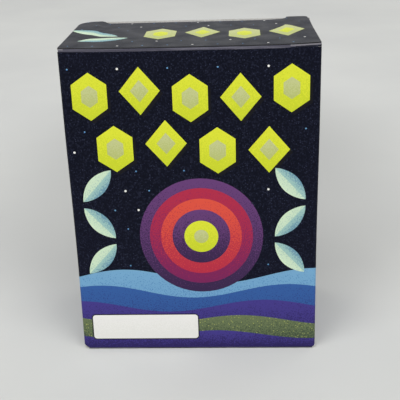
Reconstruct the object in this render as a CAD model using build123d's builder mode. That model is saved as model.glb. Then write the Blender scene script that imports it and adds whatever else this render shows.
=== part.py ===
from build123d import *
import os
from math import cos, radians, sin

# A boxed tabletop bowling game, in millimetres. The box is a tuck top carton of printed paperboard. It
# stands on its glued bottom with the front towards -Y, and the origin is the middle of its underside.
# Behind the front it holds a booklet, a folded card insert, four lane sections and the pin deck unit,
# which has the lights, the sound and the batteries. The insert's shelf carries a tray with ten pins and a
# ball. The lane sections and the unit stand on end, so their own length runs along +Z and their upper
# faces look to the front.

os.makedirs("parts", exist_ok=True)

overrun = 1.0  # how far a cutting shape runs past the faces that it cuts

# Carton
carton_width = 77.0
carton_depth = 45.6
carton_height = 101.6
board = 0.5  # thickness of the paperboard
layer_gap = 0.1  # between layers of board that lie on each other unglued
upright_radius = 0.8  # outside radius of the four upright folds
crease_radius = 0.4  # outside radius of the folds of the flaps
glue_flap_width = 12.0
glue_flap_inset = 4.0
glue_flap_slope = 5.0

# Lid and tuck flap
lid_side_gap = 0.3
lid_corner_radius = 2.5
slit_length = 7.0  # the lid's flat end beside the tuck fold
tuck_depth_share = 0.118  # of the carton's height
tuck_lean = 18.0  # degrees that the closed flap leans away from the back panel
tuck_back_gap = 0.2
tuck_side_gap = 0.3
tuck_root_gap = 0.3  # from the fold's axis to the flap
lid_root_gap = 0.42  # from the fold's axis to the lid, more than the flap's corner needs to turn
tuck_taper = 2.5
tuck_corner_radius = 5.0

# Dust flaps of the top
dust_reach_share = 0.415  # of the carton's width
dust_end_gap = 1.0  # from the ends of the fold to the outside of the front and the back
dust_taper_share = 0.42  # more than a third, because the flaps rise a third as fast as the lid
dust_shoulder = 6.0  # length of the full width beside the fold
dust_shoulder_slope = 1.6
dust_tuck_gap = 2.3  # from the fold of the tuck flap to the dust flaps
dust_corner_radius = 3.0

# Glued bottom
bottom_inner_reach = 30.0
bottom_dust_reach = 24.0
bottom_taper = 6.0
bottom_side_gap = 0.3
bottom_corner_radius = 2.0

# Room for the contents
floor_gap = 0.2
wall_gap = 0.25
stack_gap = 0.2
sheet_gap = 0.4

# Booklet
booklet_side_gap = 4.0  # to the outside of the carton
booklet_top_gap = 4.8  # to the dust flaps
pages_thickness = 2.2
cover_thickness = 0.3
page_inset = 0.6
spine_radius = 0.5
staple_radius = 0.2
staple_length = 10.0
staple_leg = 2.4
staple_hole_gap = 0.05
staple_height_shares = (0.25, 0.75)

# Pins and ball
pin_height_share = 0.25  # of the carton's height
pin_foot = 2.3
pin_belly = 3.9
pin_shoulder = 2.9
pin_neck = 1.5
pin_head = 2.1
belly_height_share = 0.30
shoulder_height_share = 0.50
neck_height_share = 0.68
head_height_share = 0.88
foot_edge = 0.3
foot_recess_radius = 1.2
foot_recess_depth = 0.5
ball_radius = 6.8
finger_hole_radius = 0.8
finger_hole_depth = 3.2
finger_hole_spread = 1.5
thumb_hole_offset = 2.8

# Tray
tray_wall = 0.8
tray_height_share = 0.7285  # of the pins' height
tray_skirt = 8.0
tray_side_gap = 0.3
tray_corner_radius = 2.5
tray_edge_radius = 0.5
well_gap = 0.35
ball_gap = 0.3
ball_rise = 1.2  # how far the ball's middle stands over the tray's face
ball_side = 10.6  # from the tray's left edge to the ball's middle

# Lane sections and deck
stack_slack = 0.6  # left over in the stack of lane sections
lane_rim = 3.2  # outside each gutter
gutter_width = 8.6
gutter_depth = 3.4
rim_chamfer = 0.8
lane_count = 4
tongue_length = 2.5
tongue_root = 4.0
tongue_tip = 5.6
tongue_thickness = 3.0
tongue_offset_share = 0.61  # of the lane's half width
tongue_gap = 0.15
core_rib = 1.2
core_roof = 1.6  # over the pockets under the lane
gutter_core_roof = 1.5
core_columns = 4
core_rows = 2
arrow_length = 6.0
arrow_width = 3.0
arrow_pitch = 6.4
arrow_step = 4.0
marking_depth = 0.3
dot_radius = 0.8
dot_pitch = 5.2
dot_count = 5
arrow_count = 5
dot_margin = 4.0
first_spot = 5.5  # from the deck's front edge to the head pin's spot
spot_radius = 2.6
rack_rows = 4
rack_half_angle = 30.0  # degrees from the rack's middle line to its sides

# House over the back of the deck
unit_length_share = 0.5955  # of the carton's height
unit_side_gap = 0.5
unit_wall = 1.6
unit_corner_radius = 2.5
house_length = 20.0
house_edge_radius = 1.0
pit_side = 5.8  # from the house's inner face to the pit
pit_step = 1.1  # from the bottom of the gutters down to the pit's floor
pit_margin = 2.0
pit_corner_radius = 1.5
bay_height = 17.4  # from the top of the mouth to the top of the house
boss_radius = 2.2
boss_gap = 1.9  # from the front bosses to the paddle's ears
boss_inset = 1.9  # from the side wall's inner face to the screw
boss_end = 4.5  # from the house's front and back to the screws
cover_screw_radius = 1.0
cover_screw_head_radius = 1.8
cover_screw_head = 1.2
cover_screw_bite_share = 0.5  # of the bosses' height
screw_gap = 0.15
thread_gap = 0.02
slot_width = 0.5
slot_depth = 0.5

# Floor of the electronics bay
bay_floor_thickness = 1.6
bay_gap = 0.3
post_offset_share = 0.2  # of the house's inner half width
post_end = 6.2  # from the house's back to the two posts
post_radius = 2.0
bay_screw_radius = 0.75
bay_screw_head_radius = 1.5
bay_screw_head = 0.8
bay_screw_bite = 4.0
guide_inset = 2.5  # from the circuit board's ends to the guides
guide_length = 3.6
guide_width = 2.0
guide_height = 3.0
guide_gap = 0.1

# Paddle that the ball swings back
paddle_side_gap = 0.9  # to the bosses beside it
paddle_place = 3.5  # from the house's front to the paddle's axis
paddle_drop = 1.6  # from the bay floor to the axis
paddle_thickness = 1.4
paddle_barrel = 1.3
paddle_floor_gap = 0.5
paddle_corner_radius = 2.0
axle_radius = 0.6
axle_gap = 0.06
ear_thickness = 1.8
ear_radius = 1.5
ear_gap = 0.25
stop_place = 7.5
stop_length = 1.2
stop_drop = 5.0
stop_half_width = 6.0
trigger_offset = 14.0
trigger_place = 7.6
trigger_width = 6.0
trigger_length = 3.0
trigger_drop = 3.4
trigger_button_radius = 0.8
trigger_button_drop = 0.85

# Batteries
cell_radius = 5.8
cell_height = 5.4
cell_cap_radius = 4.7
cell_step = 0.4
cell_edge = 0.3
cell_count = 3
contact_thickness = 0.3
contact_size = 8.0
contact_bump_radius = 2.0
contact_bump = 0.6
partition_thickness = 1.2
door_thickness = 1.0
door_ledge = 1.0
door_gap = 0.15
door_tab = 5.0
door_grip_pitch = 1.6
door_grip_width = 0.6
door_grip_depth = 0.3
door_grip_length = 7.0
door_grip_count = 5
door_screw_head = 0.6
door_screw_length = 4.0
door_boss_radius = 1.9
door_boss_height = 5.0

# Circuit board, lights, lens, speaker and switch
circuit_side_gap = 0.6
circuit_top_gap = 2.2  # to the underside of the roof
circuit_thickness = 1.2
circuit_place = 5.5  # from the house's front to the board
led_radius = 1.5
led_flange_radius = 1.8
led_flange = 0.6
led_length = 2.6
led_tip = 0.15  # flat left in the middle of a light's dome
led_pitch_share = 0.6  # of the circuit board's half width
led_level = 7.0  # over the bay floor
led_count = 3
chip_radius = 3.2
chip_height = 1.1
chip_edge_share = 0.8  # of the chip's height
lens_inset = 1.0  # from the circuit board's ends to the lens
lens_bottom = 3.4  # over the bay floor
lens_height = 8.0
lens_flange = 1.2
lens_flange_thickness = 1.0
lens_gap = 0.1
lens_flute_count = 9
lens_flute_pitch_share = 0.207  # of the lens's half width
lens_flute_width = 1.0
lens_flute_depth = 0.4
speaker_end_gap = 0.4  # to the front and back walls of the house
speaker_side_gap = 3.3  # from the house's inner face to the speaker's ring
speaker_rim = 1.2
speaker_frame = 1.4
speaker_cone_radius = 2.4
speaker_cone_depth = 1.0
speaker_magnet_radius = 4.2
speaker_magnet = 1.6
speaker_ring_gap = 0.2
speaker_ring_wall = 0.8
speaker_ring_height = 2.0
grille_slot = 1.2
grille_pitch = 2.6
grille_margin = 2.5  # from the speaker's edge to the longest slot
grille_shares = (0.6, 0.92, 1.0, 0.92, 0.6)
switch_length = 8.2
switch_depth = 3.0
switch_height = 3.6
switch_level = 6.4  # over the bay floor
knob_block_length = 3.2
knob_block_depth = 1.2
knob_block_height = 1.6
knob_stem_length = 1.8
knob_stem_height = 1.2
knob_travel = 2.4
knob_gap = 0.2
knob_proud = 0.15

# Levels and edges that follow from the sizes above
half_width = carton_width / 2
half_depth = carton_depth / 2
lid_underside = carton_height - board
dust_top = lid_underside - layer_gap
dust_bottom = dust_top - board
bottom_layers = 3 * board
fold_y = half_depth - board - tuck_back_gap
fold_half_width = half_width - slit_length
tuck_axis_y = fold_y - board / 2 * cos(radians(tuck_lean))
tuck_axis_z = lid_underside + board / 2
tuck_depth = tuck_depth_share * carton_height
dust_reach = dust_reach_share * carton_width
contents_floor = bottom_layers + floor_gap
contents_back = half_depth - board - wall_gap
booklet_width = carton_width - 2 * booklet_side_gap
booklet_height = dust_bottom - contents_floor - booklet_top_gap
booklet_front = -half_depth + board + wall_gap
booklet_back = booklet_front + pages_thickness + 2 * cover_thickness
insert_front = booklet_back + stack_gap
insert_inside = insert_front + board
insert_half_width = half_width - 2 * board - layer_gap
unit_half_width = insert_half_width - board - unit_side_gap
unit_width = 2 * unit_half_width
unit_height = contents_back - insert_inside - stack_gap
unit_length = unit_length_share * carton_height
shelf_underside = contents_floor + unit_length + sheet_gap
shelf_top = shelf_underside + board
lane_thickness = (unit_height - lane_count * stack_gap - stack_slack) / (lane_count + 1)
lane_step = lane_thickness + stack_gap
lane_half_width = unit_half_width - lane_rim - gutter_width
tongue_offset = tongue_offset_share * lane_half_width
middle_core_depth = lane_thickness - core_roof
gutter_core_depth = lane_thickness - gutter_depth - gutter_core_roof
deck_length = unit_length - house_length
lane_length = deck_length - sheet_gap
gutter_middle = lane_half_width + gutter_width / 2
gutter_radius = (gutter_width**2 / 4 + gutter_depth**2) / (2 * gutter_depth)
tray_front = insert_front + tray_side_gap
tray_depth = contents_back - tray_front
tray_middle = tray_front + tray_depth / 2
tray_half_width = insert_half_width - tray_side_gap
pin_height = pin_height_share * carton_height
tray_height = tray_height_share * pin_height
flange_top = shelf_top + tray_height
well_radius = pin_belly + well_gap
row_pitch = (tray_depth - 2 * (well_radius + tray_wall)) / (rack_rows - 1)
pin_pitch = row_pitch / cos(radians(rack_half_angle))
pin_floor = shelf_top + tray_wall
ball_place = (ball_side - tray_half_width, tray_middle - row_pitch)
inside_half_width = unit_half_width - unit_wall
house_middle = deck_length + house_length / 2
pit_half_width = inside_half_width - pit_side
pit_depth = gutter_depth + pit_step
mouth_height = unit_height - bay_height
bay_floor_top = mouth_height + bay_floor_thickness
roof_underside = unit_height - unit_wall
boss_side = inside_half_width - boss_inset
boss_lengths = (deck_length + boss_end, unit_length - boss_end)
cover_screw_places = [(side * boss_side, length) for side in (-1, 1) for length in boss_lengths]
post_offset = post_offset_share * inside_half_width
post_places = [(side, unit_length - post_end) for side in (-post_offset, post_offset)]
mouth_half_width = lane_half_width + gutter_width
paddle_length = deck_length + paddle_place
paddle_height = mouth_height - paddle_drop
paddle_half_width = boss_side - boss_radius - paddle_side_gap
boss_height = paddle_height - ear_radius - boss_gap - lane_thickness
cover_screw_bite = cover_screw_bite_share * boss_height
cell_axis_height = bay_floor_top + bay_gap + cell_radius
cells_start = -inside_half_width + contact_thickness + contact_bump
cells_end = cells_start + cell_count * cell_height
partition_start = cells_end + contact_bump + contact_thickness
bay_opening_start = -inside_half_width + door_ledge
bay_opening_width = 2 * (cell_radius + bay_gap)
door_start = bay_opening_start - door_ledge
door_end = partition_start + door_tab
door_width = bay_opening_width + 2 * door_ledge
door_screw_place = (partition_start + door_tab / 2, house_middle)
speaker_radius = house_length / 2 - unit_wall - speaker_end_gap
speaker_ring_radius = speaker_radius + speaker_ring_gap + speaker_ring_wall
speaker_offset = inside_half_width - speaker_ring_radius - speaker_side_gap
speaker_place = (speaker_offset, house_middle)
grille_reach = 2 * (speaker_radius - grille_margin)
knob_length = house_middle - knob_travel / 2
circuit_length = deck_length + circuit_place
circuit_half_width = -partition_start - partition_thickness - circuit_side_gap
circuit_height = roof_underside - bay_floor_top - circuit_top_gap
guide_offset = circuit_half_width - guide_inset
led_pitch = led_pitch_share * circuit_half_width
lens_half_width = circuit_half_width - lens_inset
lens_flute_pitch = lens_flute_pitch_share * lens_half_width
lens_level = bay_floor_top + lens_bottom + lens_height / 2
switch_height_level = bay_floor_top + switch_level


def save_piece(piece, name):
    """Label a finished piece and write it under its own name."""
    piece.part.label = name
    export_step(piece.part, f"parts/{name}.step")


def unit_plane(height=0):
    """Plane square to the unit's heights: X runs across, Y along its length, and it faces the front."""
    origin = (0, contents_back - height, contents_floor)
    return Plane(origin=origin, x_dir=(1, 0, 0), z_dir=(0, -1, 0))


def cross_plane(length, height=0):
    """Plane square to the unit's length: X runs across, Y along its heights, and it faces down."""
    origin = (0, contents_back - height, contents_floor + length)
    return Plane(origin=origin, x_dir=(1, 0, 0), z_dir=(0, 0, -1))


def side_plane(side):
    """Plane along the unit at a place across it: X is its length, Y its height, and it faces +X."""
    return Plane(origin=(side, contents_back, contents_floor), x_dir=(0, 0, 1), z_dir=(1, 0, 0))


def rack_places(first_row):
    """The ten places of a rack in rows of one to four, the head pin first, from its place on."""
    return [
        ((i - row / 2) * pin_pitch, first_row + row * row_pitch)
        for row in range(rack_rows)
        for i in range(row + 1)
    ]


# Carton: the four upright panels with the glue flap inside the left one
with BuildPart() as carton_sleeve:
    with BuildSketch(Plane.XY.offset(bottom_layers)):
        RectangleRounded(carton_width, carton_depth, upright_radius)
        RectangleRounded(
            carton_width - 2 * board,
            carton_depth - 2 * board,
            upright_radius - board,
            mode=Mode.SUBTRACT,
        )
    extrude(amount=dust_bottom - bottom_layers)
    # The front panel runs on to the fold of the lid, and down to the fold of the outer bottom flap
    with BuildSketch(Plane.XY.offset(board)):
        with Locations((0, -half_depth + board / 2)):
            Rectangle(carton_width - 2 * upright_radius, board)
    extrude(amount=lid_underside - board)
    # The back panel ends just under the lid, and at the fold of the inner bottom flap
    with BuildSketch(Plane.XY.offset(2 * board)):
        with Locations((0, half_depth - board / 2)):
            Rectangle(carton_width - 2 * upright_radius, board)
    extrude(amount=dust_top - 2 * board)
    with BuildSketch(Plane.YZ.offset(-half_width + board)):
        with BuildLine():
            Polyline(
                (half_depth - board, glue_flap_inset),
                (half_depth - board - glue_flap_width, glue_flap_inset + glue_flap_slope),
                (half_depth - board - glue_flap_width, carton_height - glue_flap_inset - glue_flap_slope),
                (half_depth - board, carton_height - glue_flap_inset),
                close=True,
            )
        make_face()
    extrude(amount=board)
save_piece(carton_sleeve, "carton_sleeve")

# Carton: outer bottom flap, which the carton stands on
with BuildPart() as bottom_outer_flap:
    with BuildSketch():
        Rectangle(carton_width - 2 * bottom_side_gap, carton_depth)
    extrude(amount=board)
    fillet(bottom_outer_flap.edges().filter_by(Axis.Z).group_by(Axis.Y)[-1], bottom_corner_radius)
    fillet(bottom_outer_flap.edges().filter_by(Axis.X).group_by(Axis.Z)[0].sort_by(Axis.Y)[0], crease_radius)
save_piece(bottom_outer_flap, "bottom_outer_flap")

# Carton: inner bottom flap, folded from the back panel
with BuildPart() as bottom_inner_flap:
    with BuildSketch(Plane.XY.offset(board)):
        with Locations((0, half_depth)):
            Trapezoid(
                carton_width - 2 * bottom_side_gap,
                bottom_inner_reach,
                90 - bottom_taper,
                rotation=180,
                align=(Align.CENTER, Align.MIN),
            )
    extrude(amount=board)
save_piece(bottom_inner_flap, "bottom_inner_flap")

# Carton: bottom dust flaps, folded from the side panels
for name, side in (("bottom_dust_flap_left", -1), ("bottom_dust_flap_right", 1)):
    with BuildPart() as bottom_dust_flap:
        with BuildSketch(Plane.XY.offset(2 * board)):
            with Locations((side * half_width, 0)):
                Trapezoid(
                    carton_depth - 2 * dust_end_gap,
                    bottom_dust_reach,
                    90 - bottom_taper,
                    rotation=side * 90,
                    align=(Align.CENTER, Align.MIN),
                )
        extrude(amount=board)
    save_piece(bottom_dust_flap, name)

# Lid: the middle of its back edge ends at the tuck fold, and its two ends lie on the back panel's edge
with BuildPart() as top_lid:
    lid_half_width = half_width - lid_side_gap
    lid_back = half_depth - layer_gap
    lid_fold = tuck_axis_y - lid_root_gap
    with BuildSketch(Plane.XY.offset(lid_underside)):
        with BuildLine():
            Polyline(
                (-lid_half_width, -half_depth),
                (lid_half_width, -half_depth),
                (lid_half_width, lid_back),
                (fold_half_width, lid_back),
                (fold_half_width, lid_fold),
                (-fold_half_width, lid_fold),
                (-fold_half_width, lid_back),
                (-lid_half_width, lid_back),
                close=True,
            )
        make_face()
    extrude(amount=board)
    corners = top_lid.edges().filter_by(Axis.Z).group_by(Axis.Y)[-1].sort_by(Axis.X)
    fillet([corners[0], corners[-1]], lid_corner_radius)
    fillet(top_lid.edges().filter_by(Axis.X).group_by(Axis.Z)[-1].sort_by(Axis.Y)[0], crease_radius)
save_piece(top_lid, "top_lid")

# Tuck flap: it hangs from the fold inside the back panel and leans to the front
with BuildPart() as top_tuck_flap:
    lean_cos = cos(radians(tuck_lean))
    lean_sin = sin(radians(tuck_lean))
    tuck_origin = (0, tuck_axis_y + board / 2 * lean_cos, tuck_axis_z - board / 2 * lean_sin)
    with BuildSketch(Plane(origin=tuck_origin, x_dir=(1, 0, 0), z_dir=(0, -lean_cos, lean_sin))):
        with BuildLine():
            tuck_half_width = fold_half_width - tuck_side_gap
            Polyline(
                (-tuck_half_width, -tuck_root_gap),
                (tuck_half_width, -tuck_root_gap),
                (tuck_half_width - tuck_taper, -tuck_depth),
                (-tuck_half_width + tuck_taper, -tuck_depth),
                close=True,
            )
        tuck_face = make_face()
        fillet(tuck_face.vertices().group_by(Axis.Y)[0], tuck_corner_radius)
    extrude(amount=board)
save_piece(top_tuck_flap, "top_tuck_flap")

# Top dust flaps: full width beside the fold, then narrower to pass the tuck flap and the rising lid
for name, side in (("top_dust_flap_left", -1), ("top_dust_flap_right", 1)):
    with BuildPart() as top_dust_flap:
        with BuildSketch(Plane.XY.offset(dust_bottom)):
            with BuildLine():
                dust_half_length = half_depth - dust_end_gap
                dust_back = fold_y - dust_tuck_gap
                Polyline(
                    (side * half_width, -dust_half_length),
                    (side * (half_width - dust_reach), -dust_half_length + dust_taper_share * dust_reach),
                    (side * (half_width - dust_reach), dust_back),
                    (side * (half_width - dust_shoulder), dust_back),
                    (side * (half_width - dust_shoulder + dust_shoulder_slope), dust_half_length),
                    (side * half_width, dust_half_length),
                    close=True,
                )
            dust_face = make_face()
            fillet(dust_face.vertices().sort_by(lambda corner: abs(corner.X))[:2], dust_corner_radius)
        extrude(amount=board)
    save_piece(top_dust_flap, name)

# Booklet: pages inside a folded cover, with two staples through the spine at its left edge
spine_side = -booklet_width / 2
booklet_middle = (booklet_front + booklet_back) / 2
staple_levels = [contents_floor + share * booklet_height for share in staple_height_shares]
booklet_plane = Plane(origin=(0, 0, contents_floor))
with BuildPart() as booklet_cover:
    with BuildSketch(booklet_plane):
        with Locations((0, booklet_middle)):
            Rectangle(booklet_width, booklet_back - booklet_front)
    extrude(amount=booklet_height)
    fillet(booklet_cover.edges().filter_by(Axis.Z).group_by(Axis.X)[0], spine_radius)
    with BuildSketch(booklet_plane.offset(-overrun)):
        with Locations((spine_side + cover_thickness, booklet_middle)):
            Rectangle(booklet_width + overrun, pages_thickness, align=(Align.MIN, Align.CENTER))
    extrude(amount=booklet_height + 2 * overrun, mode=Mode.SUBTRACT)
    with BuildSketch(Plane.YZ.offset(spine_side - overrun)):
        with Locations([(booklet_middle, z + end) for z in staple_levels for end in (0, staple_length)]):
            Circle(staple_radius + staple_hole_gap)
    extrude(amount=staple_leg, mode=Mode.SUBTRACT)
save_piece(booklet_cover, "booklet_cover")

with BuildPart() as booklet_pages:
    with BuildSketch(booklet_plane.offset(page_inset)):
        with Locations((spine_side + cover_thickness, booklet_middle)):
            page_width = booklet_width - cover_thickness - page_inset
            Rectangle(page_width, pages_thickness, align=(Align.MIN, Align.CENTER))
    extrude(amount=booklet_height - 2 * page_inset)
    with BuildSketch(Plane.YZ.offset(spine_side)):
        with Locations([(booklet_middle, z + end) for z in staple_levels for end in (0, staple_length)]):
            Circle(staple_radius + staple_hole_gap)
    extrude(amount=staple_leg + staple_hole_gap, mode=Mode.SUBTRACT)
save_piece(booklet_pages, "booklet_pages")

for name, level in zip(("booklet_staple_lower", "booklet_staple_upper"), staple_levels):
    with BuildPart() as staple:
        crown_side = spine_side - staple_radius
        with BuildLine() as staple_path:
            FilletPolyline(
                (spine_side + staple_leg, booklet_middle, level),
                (crown_side, booklet_middle, level),
                (crown_side, booklet_middle, level + staple_length),
                (spine_side + staple_leg, booklet_middle, level + staple_length),
                radius=2 * staple_radius,
            )
        with BuildSketch(Plane(origin=staple_path.line @ 0, z_dir=staple_path.line % 0)):
            Circle(staple_radius)
        sweep()
    save_piece(staple, name)

# Card insert: front, two sides and shelf folded from one sheet
with BuildPart() as card_insert:
    with BuildSketch(Plane.XY.offset(contents_floor)):
        with Locations((0, insert_front)):
            Rectangle(2 * insert_half_width, contents_back - insert_front, align=(Align.CENTER, Align.MIN))
    extrude(amount=shelf_top - contents_floor)
    fillet(card_insert.edges().filter_by(Axis.X).group_by(Axis.Z)[-1].sort_by(Axis.Y)[0], crease_radius)
    with BuildSketch(Plane.XY.offset(contents_floor - overrun)):
        with Locations((0, insert_inside)):
            inner_depth = contents_back - insert_inside + overrun
            Rectangle(2 * (insert_half_width - board), inner_depth, align=(Align.CENTER, Align.MIN))
    extrude(amount=shelf_underside - contents_floor + overrun, mode=Mode.SUBTRACT)
save_piece(card_insert, "card_insert")

# Tray: a moulded sheet with a well for each pin, a round seat for the ball and a skirt
tray_plane = Plane(origin=(0, tray_middle, flange_top), x_dir=(1, 0, 0), z_dir=(0, 0, 1))
well_places = rack_places(tray_front + tray_wall + well_radius)
with BuildPart() as pin_tray:
    with BuildSketch(tray_plane.offset(-tray_skirt)):
        RectangleRounded(2 * tray_half_width, tray_depth, tray_corner_radius)
    extrude(amount=tray_skirt)
    fillet(pin_tray.faces().sort_by(Axis.Z)[-1].edges(), tray_edge_radius)
    with BuildSketch(tray_plane.offset(-tray_skirt)):
        inner_radius = tray_corner_radius - tray_wall
        RectangleRounded(2 * (tray_half_width - tray_wall), tray_depth - 2 * tray_wall, inner_radius)
    extrude(amount=tray_skirt - tray_wall, mode=Mode.SUBTRACT)
    with BuildSketch(Plane.XY.offset(shelf_top)):
        with Locations(well_places):
            Circle(well_radius + tray_wall)
    extrude(amount=tray_height - tray_wall)
    with Locations((*ball_place, flange_top + ball_rise)):
        Sphere(ball_radius + ball_gap + tray_wall)
    with BuildSketch(Plane.XY.offset(flange_top)):
        with Locations(ball_place):
            Circle(ball_radius + ball_gap + tray_wall + overrun)
    extrude(amount=2 * ball_radius, mode=Mode.SUBTRACT)
    with BuildSketch(Plane.XY.offset(pin_floor)):
        with Locations(well_places):
            Circle(well_radius)
    extrude(amount=tray_height, mode=Mode.SUBTRACT)
    with Locations((*ball_place, flange_top + ball_rise)):
        Sphere(ball_radius + ball_gap, mode=Mode.SUBTRACT)
save_piece(pin_tray, "pin_tray")

# Ten pins, turned, each standing on the floor of its well
for number, (side, place) in enumerate(well_places, start=1):
    with BuildPart() as bowling_pin:
        with BuildSketch(Plane(origin=(side, place, pin_floor), x_dir=(1, 0, 0), z_dir=(0, -1, 0))):
            with BuildLine():
                foot = Polyline(
                    (0, foot_recess_depth),
                    (foot_recess_radius, foot_recess_depth),
                    (foot_recess_radius, 0),
                    (pin_foot, 0),
                    (pin_foot + foot_edge, foot_edge),
                )
                Spline(
                    foot @ 1,
                    (pin_belly, belly_height_share * pin_height),
                    (pin_shoulder, shoulder_height_share * pin_height),
                    (pin_neck, neck_height_share * pin_height),
                    (pin_head, head_height_share * pin_height),
                    (0, pin_height),
                    tangents=((pin_foot, pin_height / 2), (-1, 0)),
                )
                Line((0, pin_height), foot @ 0)
            make_face()
        revolve(axis=Axis((side, place, pin_floor), (0, 0, 1)))
    save_piece(bowling_pin, f"bowling_pin_{number:02d}")

# Ball with two finger holes and a thumb hole
with BuildPart() as bowling_ball:
    with Locations((*ball_place, flange_top + ball_rise)):
        Sphere(ball_radius)
    with BuildSketch(Plane.XY.offset(flange_top + ball_rise + ball_radius + overrun)):
        ball_x, ball_y = ball_place
        with Locations(
            (ball_x - finger_hole_spread, ball_y + thumb_hole_offset / 2),
            (ball_x + finger_hole_spread, ball_y + thumb_hole_offset / 2),
            (ball_x, ball_y - thumb_hole_offset / 2),
        ):
            Circle(finger_hole_radius)
    extrude(amount=-finger_hole_depth - overrun, mode=Mode.SUBTRACT)
save_piece(bowling_ball, "bowling_ball")


def gutter_sketch(length, height):
    """Round sections of the two gutters, in the plane across a section whose underside is at a height."""
    with BuildSketch(cross_plane(length, height)) as gutters:
        gutter_level = lane_thickness + gutter_radius - gutter_depth
        with Locations((-gutter_middle, gutter_level), (gutter_middle, gutter_level)):
            Circle(gutter_radius)
    return gutters.sketch


def middle_cores(length, height, run):
    """Pockets under the lane itself, between ribs, in the underside of a section."""
    with BuildSketch(unit_plane(height)) as cores:
        column = 2 * lane_half_width / core_columns
        row = run / core_rows
        with Locations((0, length)):
            with GridLocations(column, row, core_columns, core_rows):
                Rectangle(column - core_rib, row - core_rib)
    return cores.sketch


def gutter_cores(length, height, run):
    """Shallower pockets under the gutters."""
    with BuildSketch(unit_plane(height)) as cores:
        row = run / core_rows
        with Locations((0, length)):
            with GridLocations(2 * gutter_middle, row, 2, core_rows):
                Rectangle(gutter_width, row - core_rib)
    return cores.sketch


def tongue_sketch(length, height, gap=0):
    """The two dovetail tongues that join one section to the next, or with a gap, their sockets."""
    with BuildSketch(unit_plane(height)) as tongues:
        for side in (-tongue_offset, tongue_offset):
            with BuildLine():
                Polyline(
                    (side - tongue_root / 2 - gap, length),
                    (side + tongue_root / 2 + gap, length),
                    (side + tongue_tip / 2 + gap, length + tongue_length + gap),
                    (side - tongue_tip / 2 - gap, length + tongue_length + gap),
                    close=True,
                )
            make_face()
    return tongues.sketch


def dot_sketch(length, height):
    """A row of round aiming marks across the lane."""
    with BuildSketch(unit_plane(height)) as dots:
        with Locations((0, length)):
            with GridLocations(dot_pitch, dot_pitch, dot_count, 1):
                Circle(dot_radius)
    return dots.sketch


def arrow_sketch(length, height):
    """Aiming arrows that step back from the middle one."""
    with BuildSketch(unit_plane(height)) as arrows:
        for number in range(arrow_count):
            place = number - (arrow_count - 1) / 2
            tip = (place * arrow_pitch, length - abs(place) * arrow_step)
            with BuildLine():
                Polyline(
                    tip,
                    (tip[0] - arrow_width / 2, tip[1] - arrow_length),
                    (tip[0] + arrow_width / 2, tip[1] - arrow_length),
                    close=True,
                )
            make_face()
    return arrows.sketch


# Lane sections: boards with a gutter on each side, ribbed below, dovetailed end to end when laid out
core_end = tongue_length + tongue_gap + core_rib
for number in range(lane_count):
    with BuildPart() as lane_section:
        underside = (number + 1) * lane_step
        upper_face = underside + lane_thickness
        board_length = lane_length - tongue_length
        run = board_length - core_end - core_rib
        core_middle = core_end + run / 2
        with BuildSketch(unit_plane(underside)):
            Rectangle(unit_width, board_length, align=(Align.CENTER, Align.MIN))
        extrude(amount=lane_thickness)
        chamfer(lane_section.edges().filter_by(Axis.Z).group_by(Axis.Y)[0], rim_chamfer)
        extrude(tongue_sketch(board_length, underside), amount=tongue_thickness)
        extrude(
            tongue_sketch(0, underside - overrun, tongue_gap),
            amount=tongue_thickness + tongue_gap + overrun,
            mode=Mode.SUBTRACT,
        )
        extrude(gutter_sketch(board_length + overrun, underside), amount=lane_length, mode=Mode.SUBTRACT)
        extrude(middle_cores(core_middle, underside, run), amount=middle_core_depth, mode=Mode.SUBTRACT)
        extrude(gutter_cores(core_middle, underside, run), amount=gutter_core_depth, mode=Mode.SUBTRACT)
        marks = arrow_sketch if number == lane_count - 1 else dot_sketch
        extrude(marks(board_length - dot_margin, upper_face), amount=-marking_depth, mode=Mode.SUBTRACT)
    save_piece(lane_section, f"lane_section_{number + 1}")

# Deck: the last stretch of lane with the pins' spots, and the floor of the pit behind it
with BuildPart() as deck_base:
    with BuildSketch(unit_plane()):
        with Locations((0, unit_length / 2)):
            RectangleRounded(unit_width, unit_length, unit_corner_radius)
    extrude(amount=lane_thickness)
    extrude(
        tongue_sketch(0, -overrun, tongue_gap),
        amount=tongue_thickness + tongue_gap + overrun,
        mode=Mode.SUBTRACT,
    )
    gutter_end = deck_length + unit_wall + pit_margin
    extrude(gutter_sketch(gutter_end, 0), amount=gutter_end + overrun, mode=Mode.SUBTRACT)
    deck_run = deck_length - core_end
    extrude(middle_cores(core_end + deck_run / 2, 0, deck_run), amount=middle_core_depth, mode=Mode.SUBTRACT)
    extrude(gutter_cores(core_end + deck_run / 2, 0, deck_run), amount=gutter_core_depth, mode=Mode.SUBTRACT)
    with BuildSketch(unit_plane(lane_thickness)):
        with Locations(rack_places(first_spot)):
            Circle(spot_radius)
    extrude(amount=-marking_depth, mode=Mode.SUBTRACT)
    # The pit is lower than the gutters, so that the ball stays in it
    with BuildSketch(unit_plane(lane_thickness)):
        with Locations((0, house_middle)):
            RectangleRounded(2 * pit_half_width, house_length - 2 * pit_margin, pit_corner_radius)
    extrude(amount=-pit_depth, mode=Mode.SUBTRACT)
    with BuildSketch(unit_plane(-overrun)):
        with Locations(cover_screw_places):
            Circle(cover_screw_radius + screw_gap)
    extrude(amount=lane_thickness + 2 * overrun, mode=Mode.SUBTRACT)
    with BuildSketch(unit_plane(-overrun)):
        with Locations(cover_screw_places):
            Circle(cover_screw_head_radius + screw_gap)
    extrude(amount=cover_screw_head + screw_gap + overrun, mode=Mode.SUBTRACT)
save_piece(deck_base, "deck_base")


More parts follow.
